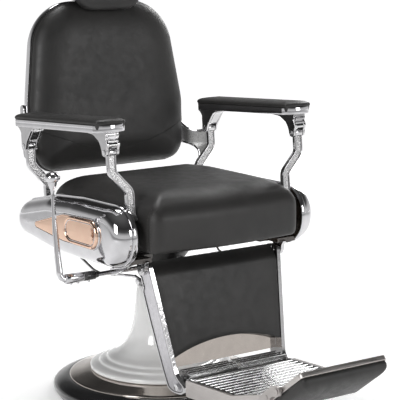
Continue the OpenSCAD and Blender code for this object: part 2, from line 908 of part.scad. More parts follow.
// Side arms that carry the ribbed plate and rise to the flip-over pad's pivots
module foot_arms() {
    pivot = flap_pivot;
    nose = [150, 160];
    color("silver") for (side = [-1, 1]) mirrored(side) {
        on_foot() translate([foot_half - 8, -232, -18]) cube([8, 196, 44]);
        hull() {
            on_foot() translate([foot_half - 8, -236, -18]) cube([8, 4, 44]);
            translate([141, -640, 128]) cube([9, 4, 34]);
        }
        hull() {
            translate([141, -644, 128]) cube([9, 4, 34]);
            bar(pivot, 13, 141, 150, $fn = soft_fn);
        }
        bar(pivot, 5, 128, 145);
        bar(pivot, 7, 150, 153);
    }
}

// ---- Flip-over pad, drawn lying flat about its pivot ----

flap_angle = 37;
flap_rear = 60;

module on_flap() {
    translate([0, flap_pivot[0], flap_pivot[1]]) rotate([-flap_angle, 0, 0]) children();
}

module flap_outline(inset) {
    front = flap_rear - flap_depth + inset;
    half = flap_half - inset;
    rear = flap_rear - inset;
    polygon([[-half + 10, front], [half - 10, front], [half, front + 10], [half, rear - 16],
        [half - 16, rear], [16 - half, rear], [-half, rear - 16], [-half, front + 10]]);
}

module flap_frame() {
    color("silver") on_flap() difference() {
        translate([0, 0, -9]) linear_extrude(15) flap_outline(0);
        bar([0, 0], 5 + fit, 127, 140);
        bar([0, 0], 5 + fit, -140, -127);
    }
}

module flap_pad() {
    color([0.13, 0.13, 0.13]) on_flap() hull() {
        slice(-17, 7.6) flap_outline(2);
        slice(-30) flap_outline(8);
        slice(-42) flap_outline(30);
    }
}

floor_pad();
base_casting();
base_trim();
base_bell();
hydraulic_cylinder();
gland_nut();
base_bolts();
ram();
piston();
piston_seal();
thrust_washer();
swivel_nut();
yoke();
seat_frame();
seat_board();
seat_cushion();
side_cover(1);  // side_cover_left
side_cover(-1);  // side_cover_right
medallions();
lever_hanger();
arm_pivot_pins();
legrest_hinge_pins();
pump_body();
lever_arm();
lever_knob();
lever_socket();
socket_screws();
lever_shaft();
pump_plunger();
back_casting(1);  // back_casting_left
back_casting(-1);  // back_casting_right
back_shell();
back_board();
back_cushion();
headrest_socket();
headrest_bar();
headrest_bracket();
headrest_pad();
headrest_shell();
arm_tray(1);  // arm_tray_left
arm_tray(-1);  // arm_tray_right
arm_brackets(1);  // arm_brackets_left
arm_brackets(-1);  // arm_brackets_right
arm_pad(1);  // arm_pad_left
arm_pad(-1);  // arm_pad_right
arm_pins(1);  // arm_pins_left
arm_pins(-1);  // arm_pins_right
front_post(1);  // front_post_left
front_post(-1);  // front_post_right
legrest_rail(1);  // legrest_rail_left
legrest_rail(-1);  // legrest_rail_right
kick_panel();
calf_pad();
footplate_pins();
link_rod(1);  // link_rod_left
link_rod(-1);  // link_rod_right
foot_grille();
foot_arms();
flap_frame();
flap_pad();
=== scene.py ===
import json
import math
import bmesh
import bpy
from mathutils import Matrix, Vector
from mathutils.bvhtree import BVHTree


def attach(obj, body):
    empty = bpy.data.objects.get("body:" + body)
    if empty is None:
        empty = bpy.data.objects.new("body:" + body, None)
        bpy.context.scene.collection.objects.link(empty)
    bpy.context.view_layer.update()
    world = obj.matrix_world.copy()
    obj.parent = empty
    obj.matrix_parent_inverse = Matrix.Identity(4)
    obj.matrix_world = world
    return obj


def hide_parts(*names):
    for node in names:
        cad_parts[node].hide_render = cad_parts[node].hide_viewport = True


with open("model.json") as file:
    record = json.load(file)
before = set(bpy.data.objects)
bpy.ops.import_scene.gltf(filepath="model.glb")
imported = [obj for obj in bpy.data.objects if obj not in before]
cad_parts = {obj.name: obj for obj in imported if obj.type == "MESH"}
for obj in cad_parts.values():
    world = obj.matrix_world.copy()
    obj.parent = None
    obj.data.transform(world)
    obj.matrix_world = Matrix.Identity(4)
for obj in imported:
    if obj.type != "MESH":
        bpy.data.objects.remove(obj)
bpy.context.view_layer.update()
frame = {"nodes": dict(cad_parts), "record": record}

NODES = frame["nodes"]
SIDES = (("left", 1), ("right", -1))


# ---------- frames, in millimetres ----------

def lean(origin, angle):
    return Matrix.Translation(origin) @ Matrix.Rotation(math.radians(-angle), 4, "X")


ROW = Matrix.Identity(4)
BACK = lean((0, 253, 605), 6.2)
LEG = lean((0, -261, 428), 13.8)
FOOT = lean((0, -336, 111), 2)
FLAP = lean((0, -706, 184), 37)

RECLINE = (167, 518)
POST = (-238, 550)
ARM_LINK = (16, 177)
REAR_PIN = (183, 695)
FRONT_PIN = (-222, 727)
LINK_PIN = (195, 470)
LEG_PIVOT = (-245, 414)
LEG_LINK = (-208, 373)
FOOT_PIVOT = (-336, 111)
FLAP_PIVOT = (-706, 184)
LEVER = (-118, 386)
POST_X, ARM_X = 257, 307     # centre of a post at its pivot, and of an armrest
ARM_TILT = 3.7
LEG_TOP, LEG_LOW = 207, 178  # half the gap between the rails, above and below
CALF_LEN, ARCH = 251, 33     # the calf pad's length and the rise of its arched edge
ARM = lean((0, -232, 779.5), ARM_TILT)
SPLAY = (LEG_TOP - LEG_LOW) / CALF_LEN
OUTSIDE = 400                # rays at the sides start here, clear of the chair


# ---------- materials ----------

class Shader:
    """A Principled material with noise-driven colour, roughness and bump."""

    def __init__(self, name, color, metallic=0.0, rough=0.4, **sockets):
        self.mat = bpy.data.materials.new(name)
        self.mat.use_nodes = True
        self.tree = self.mat.node_tree
        self.bsdf = self.tree.nodes["Principled BSDF"]
        self.set("Base Color", (*color, 1))
        self.set("Metallic", metallic)
        self.set("Roughness", rough)
        for key, value in sockets.items():
            self.set(key.replace("_", " "), value)
        self.coords = self.node("ShaderNodeTexCoord").outputs["Object"]
        self.height = None

    def set(self, socket, value):
        self.bsdf.inputs[socket].default_value = value

    def node(self, kind, **props):
        n = self.tree.nodes.new(kind)
        for k, v in props.items():
            setattr(n, k, v)
        return n

    def link(self, a, b):
        self.tree.links.new(a, b)

    def noise(self, scale, detail=4, rough=0.55, stretch=None):
        n = self.node("ShaderNodeTexNoise")
        n.inputs["Scale"].default_value = scale
        n.inputs["Detail"].default_value = detail
        n.inputs["Roughness"].default_value = rough
        self.link(self.stretched(stretch), n.inputs["Vector"])
        return n.outputs["Fac"]

    def stretched(self, stretch):
        if not stretch:
            return self.coords
        m = self.node("ShaderNodeMapping")
        m.inputs["Scale"].default_value = stretch
        self.link(self.coords, m.inputs["Vector"])
        return m.outputs["Vector"]

    def cells(self, scale):
        n = self.node("ShaderNodeTexVoronoi", feature="DISTANCE_TO_EDGE")
        n.inputs["Scale"].default_value = scale
        self.link(self.coords, n.inputs["Vector"])
        return n.outputs["Distance"]

    def ramp(self, fac, stops):
        n = self.node("ShaderNodeValToRGB")
        while len(n.color_ramp.elements) < len(stops):
            n.color_ramp.elements.new(0.5)
        for e, (pos, col) in zip(n.color_ramp.elements, stops):
            e.position = pos
            e.color = (*col, 1) if isinstance(col, tuple) else (col, col, col, 1)
        self.link(fac, n.inputs["Fac"])
        return n.outputs["Color"]

    def vary_color(self, fac, dark, light, low=0.35, high=0.65):
        self.link(self.ramp(fac, [(low, dark), (high, light)]), self.bsdf.inputs["Base Color"])

    def vary_rough(self, fac, low, high):
        self.link(self.map_range(fac, (0.35, 0.65, low, high)), self.bsdf.inputs["Roughness"])

    def map_range(self, value, limits, **props):
        n = self.node("ShaderNodeMapRange", **props)
        for key, limit in zip(("From Min", "From Max", "To Min", "To Max"), limits):
            n.inputs[key].default_value = limit
        self.link(value, n.inputs["Value"])
        return n.outputs["Result"]

    def bump(self, fac, distance, strength=1.0):
        n = self.node("ShaderNodeBump")
        n.inputs["Distance"].default_value = distance
        n.inputs["Strength"].default_value = strength
        self.link(fac, n.inputs["Height"])
        if self.height:
            self.link(self.height, n.inputs["Normal"])
        self.height = n.outputs["Normal"]
        self.link(self.height, self.bsdf.inputs["Normal"])


def vinyl(name, tone=1.0):
    s = Shader(name, (0.03, 0.03, 0.03), rough=0.42, Specular_IOR_Level=0.45)
    s.vary_color(s.noise(7, 5), (0.021 * tone, 0.0205 * tone, 0.02 * tone),
            (0.03 * tone, 0.0285 * tone, 0.0275 * tone))
    s.vary_rough(s.noise(40, 7), 0.4, 0.52)
    s.bump(s.noise(7, 3, 0.5), 0.0016, 0.18)
    s.bump(s.ramp(s.cells(620), [(0.0, 0.0), (0.25, 1.0)]), 0.00008, 0.6)
    s.bump(s.noise(1500, 2), 0.00004, 0.5)
    return s.mat


def chrome(name, color, rough, wave=0.0, wave_scale=60, stretch=None):
    s = Shader(name, color, metallic=1.0, rough=rough)
    s.vary_color(s.noise(30, 5), tuple(c * 0.93 for c in color), color)
    s.vary_rough(s.noise(90, 8, 0.7, stretch=stretch), rough * 0.7, rough * 1.7)
    if wave:
        s.bump(s.noise(wave_scale, 3, 0.5), wave, 0.6)
    s.bump(s.noise(900, 4, stretch=(1, 1, 0.05)), 0.000015, 0.35)
    return s.mat


def enamel(name, color, rough):
    s = Shader(name, color, rough=rough, Coat_Weight=1.0, Coat_Roughness=0.06)
    s.vary_color(s.noise(12, 4), tuple(c * 0.96 for c in color), color)
    s.vary_rough(s.noise(60, 6), rough * 0.8, rough * 1.3)
    s.bump(s.noise(220, 2), 0.00006, 0.5)
    return s.mat


def rubber(name):
    s = Shader(name, (0.02, 0.02, 0.02), rough=0.75)
    s.vary_rough(s.noise(120, 6), 0.65, 0.85)
    s.bump(s.noise(900, 3), 0.0001, 0.6)
    return s.mat


def casting(name, color, rough):
    s = Shader(name, color, rough=rough)
    s.vary_color(s.noise(40, 6), tuple(c * 0.8 for c in color), color)
    s.vary_rough(s.noise(150, 6), rough * 0.85, rough * 1.2)
    s.bump(s.noise(420, 5), 0.0003, 0.6)
    return s.mat


def hammered(name, color):
    """Bright metal cast with a fine pebbled skin."""
    s = Shader(name, color, metallic=1.0, rough=0.2)
    pebbles = s.noise(300, 3, 0.6)
    s.vary_color(pebbles, tuple(c * 0.55 for c in color), color, 0.36, 0.6)
    s.vary_rough(s.noise(120, 4), 0.16, 0.3)
    s.bump(pebbles, 0.0016, 0.55)
    return s.mat


def pebbled_silver(name, color):
    """The same pebbled skin, satin enough to look light beside the dark cushion."""
    s = Shader(name, color, metallic=0.55, rough=0.34)
    pebbles = s.noise(330, 3, 0.6)
    s.vary_color(pebbles, tuple(c * 0.62 for c in color), color, 0.36, 0.6)
    s.vary_rough(s.noise(120, 4), 0.28, 0.42)
    s.bump(pebbles, 0.0012, 0.45)
    return s.mat


def brushed(name, color, rough=0.3, along=(0.03, 1, 1)):
    s = Shader(name, color, metallic=1.0, rough=rough)
    lines = s.noise(500, 3, 0.6, stretch=along)
    s.vary_rough(lines, rough * 0.75, rough * 1.35)
    s.vary_color(s.noise(14, 5), tuple(c * 0.92 for c in color), color)
    s.bump(lines, 0.00003, 0.5)
    return s.mat


VINYL = vinyl("black_vinyl")
# a darker copy of the black vinyl for seams and piping: painted shade along the creases
SEAM_SHADE_VINYL = vinyl("vinyl_seam_painted_shade", 0.7)
CHROME = chrome("chrome", (0.66, 0.655, 0.67), 0.05)
CAST_CHROME = chrome("chromed_casting", (0.66, 0.655, 0.665), 0.07, 0.0006, 85)
HAMMERED = hammered("hammered_chrome", (0.6, 0.595, 0.6))
WEB = pebbled_silver("pebbled_silver", (0.74, 0.735, 0.73))
FIELD = brushed("satin_field", (0.6, 0.59, 0.615), 0.3, (1, 1, 0.05))
INSIDE = casting("cover_inside", (0.16, 0.115, 0.085), 0.42)
NICKEL = chrome("polished_nickel", (0.62, 0.57, 0.53), 0.09, 0.0003, 30, (1, 1, 0.2))
COPPER = chrome("polished_copper", (0.86, 0.6, 0.46), 0.07)
MIRROR = chrome("polished_panel", (0.66, 0.6, 0.55), 0.06, 0.0004, 18)
GRILLE = chrome("polished_aluminium", (0.72, 0.72, 0.72), 0.13, 0.0002, 60)
# dark grey for groove floors and recess edges: painted shade
GROOVE_SHADE = casting("painted_groove_shade", (0.09, 0.088, 0.085), 0.5)
SATIN = brushed("satin_aluminium", (0.56, 0.53, 0.515), 0.42, (1, 0.03, 1))
TRIM = brushed("satin_edge", (0.6, 0.57, 0.55), 0.36, (0.03, 1, 1))
STEEL = brushed("turned_steel", (0.72, 0.72, 0.73), 0.2, (1, 0.05, 1))
BRASS = brushed("turned_bronze", (0.72, 0.52, 0.25), 0.3)
WHITE = enamel("white_enamel", (0.93, 0.93, 0.925), 0.14)
BLACK = enamel("black_enamel", (0.012, 0.012, 0.013), 0.16)
PAINT = casting("black_paint", (0.02, 0.02, 0.02), 0.4)
FRAME_PAINT = enamel("brown_black_enamel", (0.045, 0.032, 0.024), 0.22)
IRON = casting("grey_paint", (0.1, 0.1, 0.1), 0.5)
RUBBER = rubber("rubber")
WOOD = casting("painted_plywood", (0.022, 0.02, 0.018), 0.6)
THREAD = vinyl("stitching", 2.6)

SLOT_LOOK = {"floor_pad": RUBBER, "base_black": BLACK, "base_trim": NICKEL, "bell": WHITE,
    "cylinder": IRON, "plain_steel": STEEL, "ram": CHROME, "seal": RUBBER, "washer": BRASS,
    "yoke": PAINT, "frame": FRAME_PAINT, "board": WOOD, "upholstery": VINYL, "cover": CHROME,
    "medallion": COPPER, "chrome": CHROME, "socket": BLACK, "back_shell": CHROME,
    "headrest_shell": VINYL, "linkage": CAST_CHROME, "rails": CAST_CHROME,
    "kick_panel": MIRROR, "grille": GRILLE, "foot_arms": SATIN, "flap_trim": TRIM, }
for part in frame["record"]["subparts"]:
    mesh = NODES[part["node"]].data
    mesh.materials.clear()
    mesh.materials.append(SLOT_LOOK[part["material_slot"]])


# ---------- geometry ----------

def soft(shape, name, body, node=(), look=None, sharp=80, slot="upholstery"):
    """Builds a padded piece."""
    obj = shape.build(name, look or VINYL, body, slot, node, sharp=sharp)
    return obj


def put(name, data):
    """A new object in the scene."""
    obj = bpy.data.objects.new(name, data)
    bpy.context.scene.collection.objects.link(obj)
    return obj


def strips(n, count):
    """The quads between each two of count rings of n points."""
    return [[k * n + i, k * n + (i + 1) % n, (k + 1) * n + (i + 1) % n, (k + 1) * n + i]
            for k in range(count - 1) for i in range(n)]


class Shape:
    """Collects vertices and faces in millimetres; place= is the frame they are drawn in."""

    def __init__(self, place=ROW, side=1):
        self.verts, self.faces, self.mats = [], [], []
        self.place, self.side = place, side

    def add(self, verts, faces, mat=0, place=None):
        base = len(self.verts)
        m = place or self.place
        for v in verts:
            p = m @ Vector(v)
            self.verts.append((p.x * self.side, p.y, p.z))
        self.faces += [[base + i for i in f] for f in faces]
        self.mats += [mat] * len(faces)
        return self

    def prism(self, outline, x0, x1, **kw):
        """A [y, z] outline extruded across the chair."""
        n = len(outline)
        verts = [(x0, y, z) for y, z in outline] + [(x1, y, z) for y, z in outline]
        faces = [list(range(n)), [i + n for i in range(n)][::-1]]
        faces += [[i, i + n, (i + 1) % n + n, (i + 1) % n] for i in range(n)]
        return self.add(verts, faces, **kw)

    def rings(self, rings, caps=(True, True), **kw):
        n = len(rings[0])
        verts = [p for r in rings for p in r]
        faces = strips(n, len(rings))
        if caps[0]:
            faces.append(list(range(n))[::-1])
        if caps[1]:
            faces.append([(len(rings) - 1) * n + i for i in range(n)])
        return self.add(verts, faces, **kw)

    def dome(self, rings, centre_a, centre_b, cap_a=True, **kw):
        """Rings closed at both ends with fans to a centre point."""
        n = len(rings[0])
        verts = [p for r in rings for p in r] + [centre_a, centre_b]
        a, b = len(verts) - 2, len(verts) - 1
        last = (len(rings) - 1) * n
        faces = strips(n, len(rings))
        for i in range(n):
            j = (i + 1) % n
            if cap_a:
                faces.append([j, i, a])
            faces.append([last + i, last + j, b])
        return self.add(verts, faces, **kw)

    def lathe(self, profile, segs=96, place=None, **kw):
        rings = []
        for r, z in profile:
            rings.append([(r * math.cos(2 * math.pi * i / segs),
                    r * math.sin(2 * math.pi * i / segs), z) for i in range(segs)])
        caps = (profile[0][0] > 0.01, profile[-1][0] > 0.01)
        return self.rings(rings, caps=caps, place=place, **kw)

    def hoop(self, profile, segs=128, **kw):
        """A closed profile turned round the Z axis."""
        n = len(profile)
        verts, faces = [], []
        for i in range(segs):
            a = 2 * math.pi * i / segs
            verts += [(r * math.cos(a), r * math.sin(a), z) for r, z in profile]
        for i in range(segs):
            j = (i + 1) % segs
            for k in range(n):
                m = (k + 1) % n
                faces.append([i * n + k, j * n + k, j * n + m, i * n + m])
        return self.add(verts, faces, **kw)

    def bar(self, p, r, x0, x1, round_end=0.6, segs=32, **kw):
        """A turned bar across the chair with softened rims."""
        m = Matrix.Translation((x0, p[0], p[1])) @ Matrix.Rotation(math.pi / 2, 4, "Y")
        e, h = min(round_end, r * 0.5), x1 - x0
        prof = [(r - e, 0), (r - e * 0.3, e * 0.3), (r, e), (r, h - e), (r - e * 0.3, h - e * 0.3),
                (r - e, h)]
        return self.lathe(prof, segs, place=m, **kw)

    def tube(self, path, radius, sides=14, caps=(True, True), flat=1.0, **kw):
        """A round section swept along points; radius may be one number per point."""
        pts = [Vector(p) for p in path]
        radii = radius if isinstance(radius, (list, tuple)) else [radius] * len(pts)
        t0 = (pts[1] - pts[0]).normalized()
        up = Vector((0, 0, 1)) if abs(t0.z) < 0.9 else Vector((0, 1, 0))
        u = t0.cross(up).normalized()
        rings = []
        for i, p in enumerate(pts):
            a, b = pts[max(i - 1, 0)], pts[min(i + 1, len(pts) - 1)]
            t = (b - a).normalized()
            u = (u - t * u.dot(t)).normalized()
            w = t.cross(u) * flat
            turns = [2 * math.pi * k / sides for k in range(sides)]
            rings.append([tuple(p + (u * math.cos(q) + w * math.sin(q)) * radii[i])
                    for q in turns])
        return self.rings(rings, caps=caps, **kw)

    def build(self, name, mats, body, slot, replaces=(), bevel=0.0, segments=3, sharp=40.0):
        mesh = bpy.data.meshes.new(name)
        mesh.from_pydata([(x * 0.001, y * 0.001, z * 0.001) for x, y, z in self.verts], [],
                self.faces)
        for m in (mats if isinstance(mats, (list, tuple)) else [mats]):
            mesh.materials.append(m)
        for poly, m in zip(mesh.polygons, self.mats):
            poly.material_index = m
        bm = bmesh.new()
        bm.from_mesh(mesh)
        bmesh.ops.remove_doubles(bm, verts=bm.verts, dist=1e-6)
        bmesh.ops.recalc_face_normals(bm, faces=bm.faces)
        bm.to_mesh(mesh)
        bm.free()
        obj = put(name, mesh)
        if bevel:
            mod = obj.modifiers.new("edge", "BEVEL")
            mod.width, mod.segments = bevel * 0.001, segments
            mod.limit_method, mod.angle_limit = "ANGLE", math.radians(30)
            mod.use_clamp_overlap = True
        apply_modifiers(obj)
        obj.data.shade_smooth()
        obj.data.set_sharp_from_angle(angle=math.radians(sharp))
        if bevel:
            mod = obj.modifiers.new("normals", "WEIGHTED_NORMAL")
            mod.keep_sharp = True
            apply_modifiers(obj)
        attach(obj, body)
        if replaces:
            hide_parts(*([replaces] if isinstance(replaces, str) else replaces))
        return obj


def apply_modifiers(obj):
    if not obj.modifiers:
        return
    graph = bpy.context.evaluated_depsgraph_get()
    graph.update()
    mesh = bpy.data.meshes.new_from_object(obj.evaluated_get(graph), depsgraph=graph)
    obj.modifiers.clear()
    old = obj.data
    obj.data = mesh
    bpy.data.meshes.remove(old)


def curve(points, per=6, closed=False):
    """Catmull-Rom points through the given ones."""
    pts = [Vector(p) if len(p) == 3 else Vector((*p, 0)) for p in points]
    dim = len(points[0])
    n, out = len(pts), []
    for i in range(n if closed else n - 1):
        near = [(i + k) % n if closed else min(max(i + k, 0), n - 1) for k in (-1, 0, 1, 2)]
        a, b, c, d = (pts[k] for k in near)
        for k in range(per):
            t = k / per
            q = 0.5 * ((2 * b) + (c - a) * t + (2 * a - 5 * b + 4 * c - d) * t * t
                    + (3 * b - a - 3 * c + d) * t ** 3)
            out.append(tuple(q[:dim]))
    if not closed:
        out.append(tuple(pts[-1][:dim]))
    return out


def ease(t):
    t = min(1.0, max(0.0, t))
    return t * t * (3 - 2 * t)


def hull_ring(circles, n, inset=0.0, start=(0, 1)):
    """n even points round the convex hull of circles, moved inwards by inset."""
    cx = sum(c[0] for c in circles) / len(circles)
    cy = sum(c[1] for c in circles) / len(circles)
    small = []
    for x, y, r in circles:
        rest = r - inset
        if rest < 2:
            d = math.hypot(cx - x, cy - y) or 1
            k = min(1, (2 - rest) / d)
            x, y, rest = x + (cx - x) * k, y + (cy - y) * k, 2
        small.append((x, y, rest))
    dense = []
    for i in range(720):
        a = 2 * math.pi * i / 720
        d = (math.cos(a), math.sin(a))
        x, y, r = max(small, key=lambda c: c[0] * d[0] + c[1] * d[1] + c[2])
        dense.append((x + d[0] * r, y + d[1] * r))
    lengths = [0.0]
    for i in range(720):
        p, q = dense[i], dense[(i + 1) % 720]
        lengths.append(lengths[-1] + math.hypot(q[0] - p[0], q[1] - p[1]))
    total = lengths[-1]
    # the start is where the outline crosses the ray from the centre
    sx, sy = start
    at = 0.0
    for i in range(720):
        p, q = dense[i], dense[(i + 1) % 720]
        ca = (p[0] - cx) * sy - (p[1] - cy) * sx
        cb = (q[0] - cx) * sy - (q[1] - cy) * sx
        if ca * cb <= 0 and ca != cb and ((p[0] - cx) * sx + (p[1] - cy) * sy) > 0:
            k = ca / (ca - cb)
            at = lengths[i] + k * (lengths[i + 1] - lengths[i])
            break
    out, i = [], 0
    for k in range(n):
        s = (at + total * k / n) % total
        while not lengths[i] <= s <= lengths[i + 1]:
            i = (i + 1) % 720
        f = (s - lengths[i]) / ((lengths[i + 1] - lengths[i]) or 1)
        p, q = dense[i], dense[(i + 1) % 720]
        out.append((p[0] + (q[0] - p[0]) * f, p[1] + (q[1] - p[1]) * f))
    return out


# ---------- base ----------

def base():
    s = Shape()
    s.hoop([(235, 19), (269, 26.5), (281, 22), (282, 5), (285, 4.2), (297, 4.2), (301, 6),
            (303.5, 10), (304.8, 14), (305, 18), (304.5, 22), (302.5, 26.5), (299, 30.4),
            (294, 33.6), (288, 36.4), (281, 38.8), (274, 40.8), (266, 42.4), (259.5, 43),
            (250, 42), (244.5, 30), (243, 27), (60, 27), (60, 19)], 160)
    s.build("base_ring", BLACK, "base", "base_black", "base_casting", sharp=50)

    s = Shape()
    outer = curve([(257.8, 43.8), (256.6, 46.4), (250, 48.8), (240, 51.4), (228, 54.6),
            (214, 58.4), (204, 60.6), (196, 61.6), (188, 61.8), (176, 60.4)], 4)
    s.hoop(outer + [(175, 57.2), (190, 59), (211, 56.6), (226, 51.6), (245, 45.6),
            (254, 43.5)], 160)
    s.build("base_trim_ring", NICKEL, "base", "base_trim", "base_trim", sharp=50)

    s = Shape()
    outer = ([(190, 62.6), (196, 62.8)] + curve([(198.6, 64.4), (199, 67), (198.8, 70.5),
            (197.6, 73.6), (194.6, 76)], 3) + curve([(186, 78.6), (178, 80.6), (174.6, 82),
            (172.8, 84.2), (171, 87.2)], 3) + curve([(162, 89.6), (156, 91.4), (153, 93),
            (151.4, 95.4), (149.6, 98)], 3) + curve([(140, 101.6), (128, 107.4), (117, 115.4),
            (107, 125), (98, 137), (90, 151), (84, 167), (79.6, 186), (76.4, 206), (73.6, 228),
            (70.8, 252), (68.2, 276), (66, 296)], 4) + [(65.6, 299.5), (64.2, 301.6), (61.5, 302)])
    s.hoop(outer + [(60.8, 300), (64, 262), (72, 205), (80, 168), (94, 137), (124, 105),
            (146, 95), (168, 84), (190, 74)], 144)
    s.build("base_bell_shell", WHITE, "base", "bell", "base_bell", sharp=60)


# ---------- side covers ----------

COVER_CIRCLES = [(-209, 503, 84), (-60, 500, 85), (60, 497, 78), (190, 491, 55)]
RIM_X, ROLL, FACE = 285.5, 38, 82      # where the dome starts, and the reach of its two curves


def cover_ring(x, inset, n=120):
    return [(x, y, z) for y, z in hull_ring(COVER_CIRCLES, n, inset, (1, 0))]


def dome_x(t):
    """How far the cover stands out at a distance t inside its outline."""
    edge, face = min(1.0, t / ROLL), min(1.0, t / FACE)
    return RIM_X + 39 * math.sqrt(1 - (1 - edge) ** 2) + 7 * (1 - (1 - face) ** 2)


def side_covers():
    covers = {}
    for name, side in SIDES:
        s = Shape(side=side)
        inner = [cover_ring(x, i) for x, i in ((328, 70), (318, 44), (300, 18), (284, 5),
                (271.4, 3))]
        rim = [cover_ring(x, i) for x, i in ((270.6, 2), (270.4, 0.8), (271.4, 0), (284.2, 0),
                (285.4, 0.8), (285.7, 2.6), (285.6, 4.4))]
        dome = [cover_ring(dome_x(t), t + 4.4 * (1 - t / FACE))
                for t in (0.4, 1.2, 2.4, 4, 6, 9, 13, 17, 22, 28, 34, 41, 49, 58, 67, 76, FACE)]
        s.rings(inner, caps=(True, False), mat=1)
        s.dome([inner[-1]] + rim + dome, (329, -150, 504), (331.9, -150, 504), cap_a=False)
        cover = s.build("cover_" + name, [CHROME, INSIDE], "seat", "cover",
                "side_cover_" + name, sharp=45)
        covers[name] = tree(cover)
    return covers


def tree(obj):
    """A search tree of a piece's faces, in millimetres."""
    verts = [tuple(c * 1000 for c in v.co) for v in obj.data.vertices]
    return BVHTree.FromPolygons(verts, [tuple(f.vertices) for f in obj.data.polygons])


def hit(bvh, start, way):
    """The point and normal where a ray meets a piece."""
    where, normal, _, _ = bvh.ray_cast(Vector(start), Vector(way).normalized())
    return where, normal


def badge_plate(s, bvh, circles, profile, n=96):
    """A plate that follows the cover; profile is (inset, height above the cover)."""
    def raised(y, z, up):
        where, _ = hit(bvh, (s.side * OUTSIDE, y, z), (-s.side, 0, 0))
        return (abs(where.x) + up, y, z)
    rings = [[raised(y, z, up) for y, z in hull_ring(circles, n, inset, (1, 0))]
            for inset, up in profile]
    cy = sum(c[0] for c in circles) / len(circles)
    cz = sum(c[1] for c in circles) / len(circles)
    s.dome(rings, raised(cy, cz, -1), raised(cy, cz, profile[-1][1]))


TEARDROP = [(-163, 506, 42), (-30, 503, 39), (112, 490, 11)]
OVAL = [(-164, 506, 38), (-75, 505, 37)]


def medallions(covers):
    s, bezel = Shape(), Shape()
    for name, side in SIDES:
        s.side = bezel.side = side
        badge_plate(s, covers[name], TEARDROP, [(3.4, -0.6), (3.4, 1.4), (3.8, 2.1), (4.6, 2.5),
                (8, 2.7), (12, 2.8), (20, 2.8), (28, 2.8)])
        badge_plate(s, covers[name], OVAL, [(0.5, 1.5), (0.7, 5.4), (1.5, 7.9), (3.1, 9.5),
                (5, 10.0), (6.9, 9.5), (8.4, 8.0), (9.2, 6.4), (12, 6.3), (20, 6.3), (28, 6.3)])
        badge_plate(bezel, covers[name], TEARDROP,
                [(0, -0.6), (0, 1.4), (0.5, 2.4), (1.4, 2.9), (2.4, 2.9), (3.3, 2.2), (3.5, 0.4)])
        badge_plate(bezel, covers[name], OVAL,
                [(8.8, 5.6), (9.0, 7.4), (9.6, 8.2), (10.6, 8.4), (11.4, 7.8), (11.7, 5.8)])
    s.build("badges", COPPER, "seat", "medallion", "medallions", sharp=38)
    bezel.build("badge_bezels", CHROME, "seat", "chrome", sharp=38)


# ---------- arms ----------

def post_x(s):
    """Offset of a post's centre at a height above its pivot: a slanted jog, softened."""
    jog = [min(1, max(0, (s + k - 71) / 52)) for k in (-8, -5, -2, 0, 2, 5, 8)]
    return POST_X + (ARM_X - POST_X) * sum(jog) / len(jog)


def strap(s, place):
    """The S-shaped channel of a post: two raised rims and a sunken face."""
    section = [(-12, -5.4), (-11.4, -6.8), (-10.2, -7), (-9.2, -6.6), (-8.4, -3.4), (0, -3.2),
            (8.4, -3.4), (9.2, -6.6), (10.2, -7), (11.4, -6.8), (12, -5.4), (12, 5.4),
            (11.4, 6.8), (10.2, 7), (9.2, 6.6), (8.4, 3.4), (-8.4, 3.4), (-9.2, 6.6),
            (-10.2, 7), (-11.4, 6.8), (-12, 5.4)]
    faces = ([(-8.3, -3.6), (8.3, -3.6), (8.3, -3.0), (-8.3, -3.0)],
            [(-8.3, 3.0), (8.3, 3.0), (8.3, 3.6), (-8.3, 3.6)])
    for outline, mat in ((section, 0), (faces[0], 1), (faces[1], 1)):
        rings = []
        for k in range(59):
            t = 176 * k / 58
            slope = (post_x(t + 1) - post_x(t - 1)) / 2
            c, q = 1 / math.hypot(1, slope), slope / math.hypot(1, slope)
            rings.append([(post_x(t) + w * c, n, t - w * q) for w, n in outline])
        s.rings(rings, place=place, mat=mat)


def at_pivot(p):
    lean_deg = math.degrees(math.atan(ARM_LINK[0] / ARM_LINK[1]))
    return lean((0, p[0], p[1]), lean_deg)


def front_posts():
    for name, side in SIDES:
        s = Shape(side=side)
        strap(s, at_pivot(POST))
        s.bar(POST, 13, 246, 270, 1.5)
        s.bar(FRONT_PIN, 10.6, 295.4, 318.6, 1)
        s.build("post_" + name, [CAST_CHROME, HAMMERED], "front_post_" + name, "linkage",
                "front_post_" + name, sharp=38)


def wing(s):
    """The pebbled web from the post to the back, with a bright bead along both edges."""
    steps, across_web = 26, 14
    low, high, front, rear = [], [], [], []
    for k in range(steps + 1):
        t = k / steps
        y = 180 + 98 * t
        top = 697 + 12 * t - 20 * math.sin(math.pi * t) ** 1.2
        bottom = 596 + 52 * (1 - (1 - t) ** 2.4)
        line = []
        for j in range(across_web + 1):
            z = bottom + (top - bottom) * j / across_web
            x = post_x((z - RECLINE[1]) * 0.996)
            line.append((x + (265.5 - x) * ease(t * 1.05), y, z))
        low.append(line[0])
        high.append(line[-1])
        front.append([(x - 2.2, y, z) for x, y, z in line])
        rear.append([(x + 2.2, y, z) for x, y, z in reversed(line)])
    s.rings([f + r for f, r in zip(front, rear)], mat=2)
    for edge in (low, high):
        s.tube(edge, 4.2, 14)


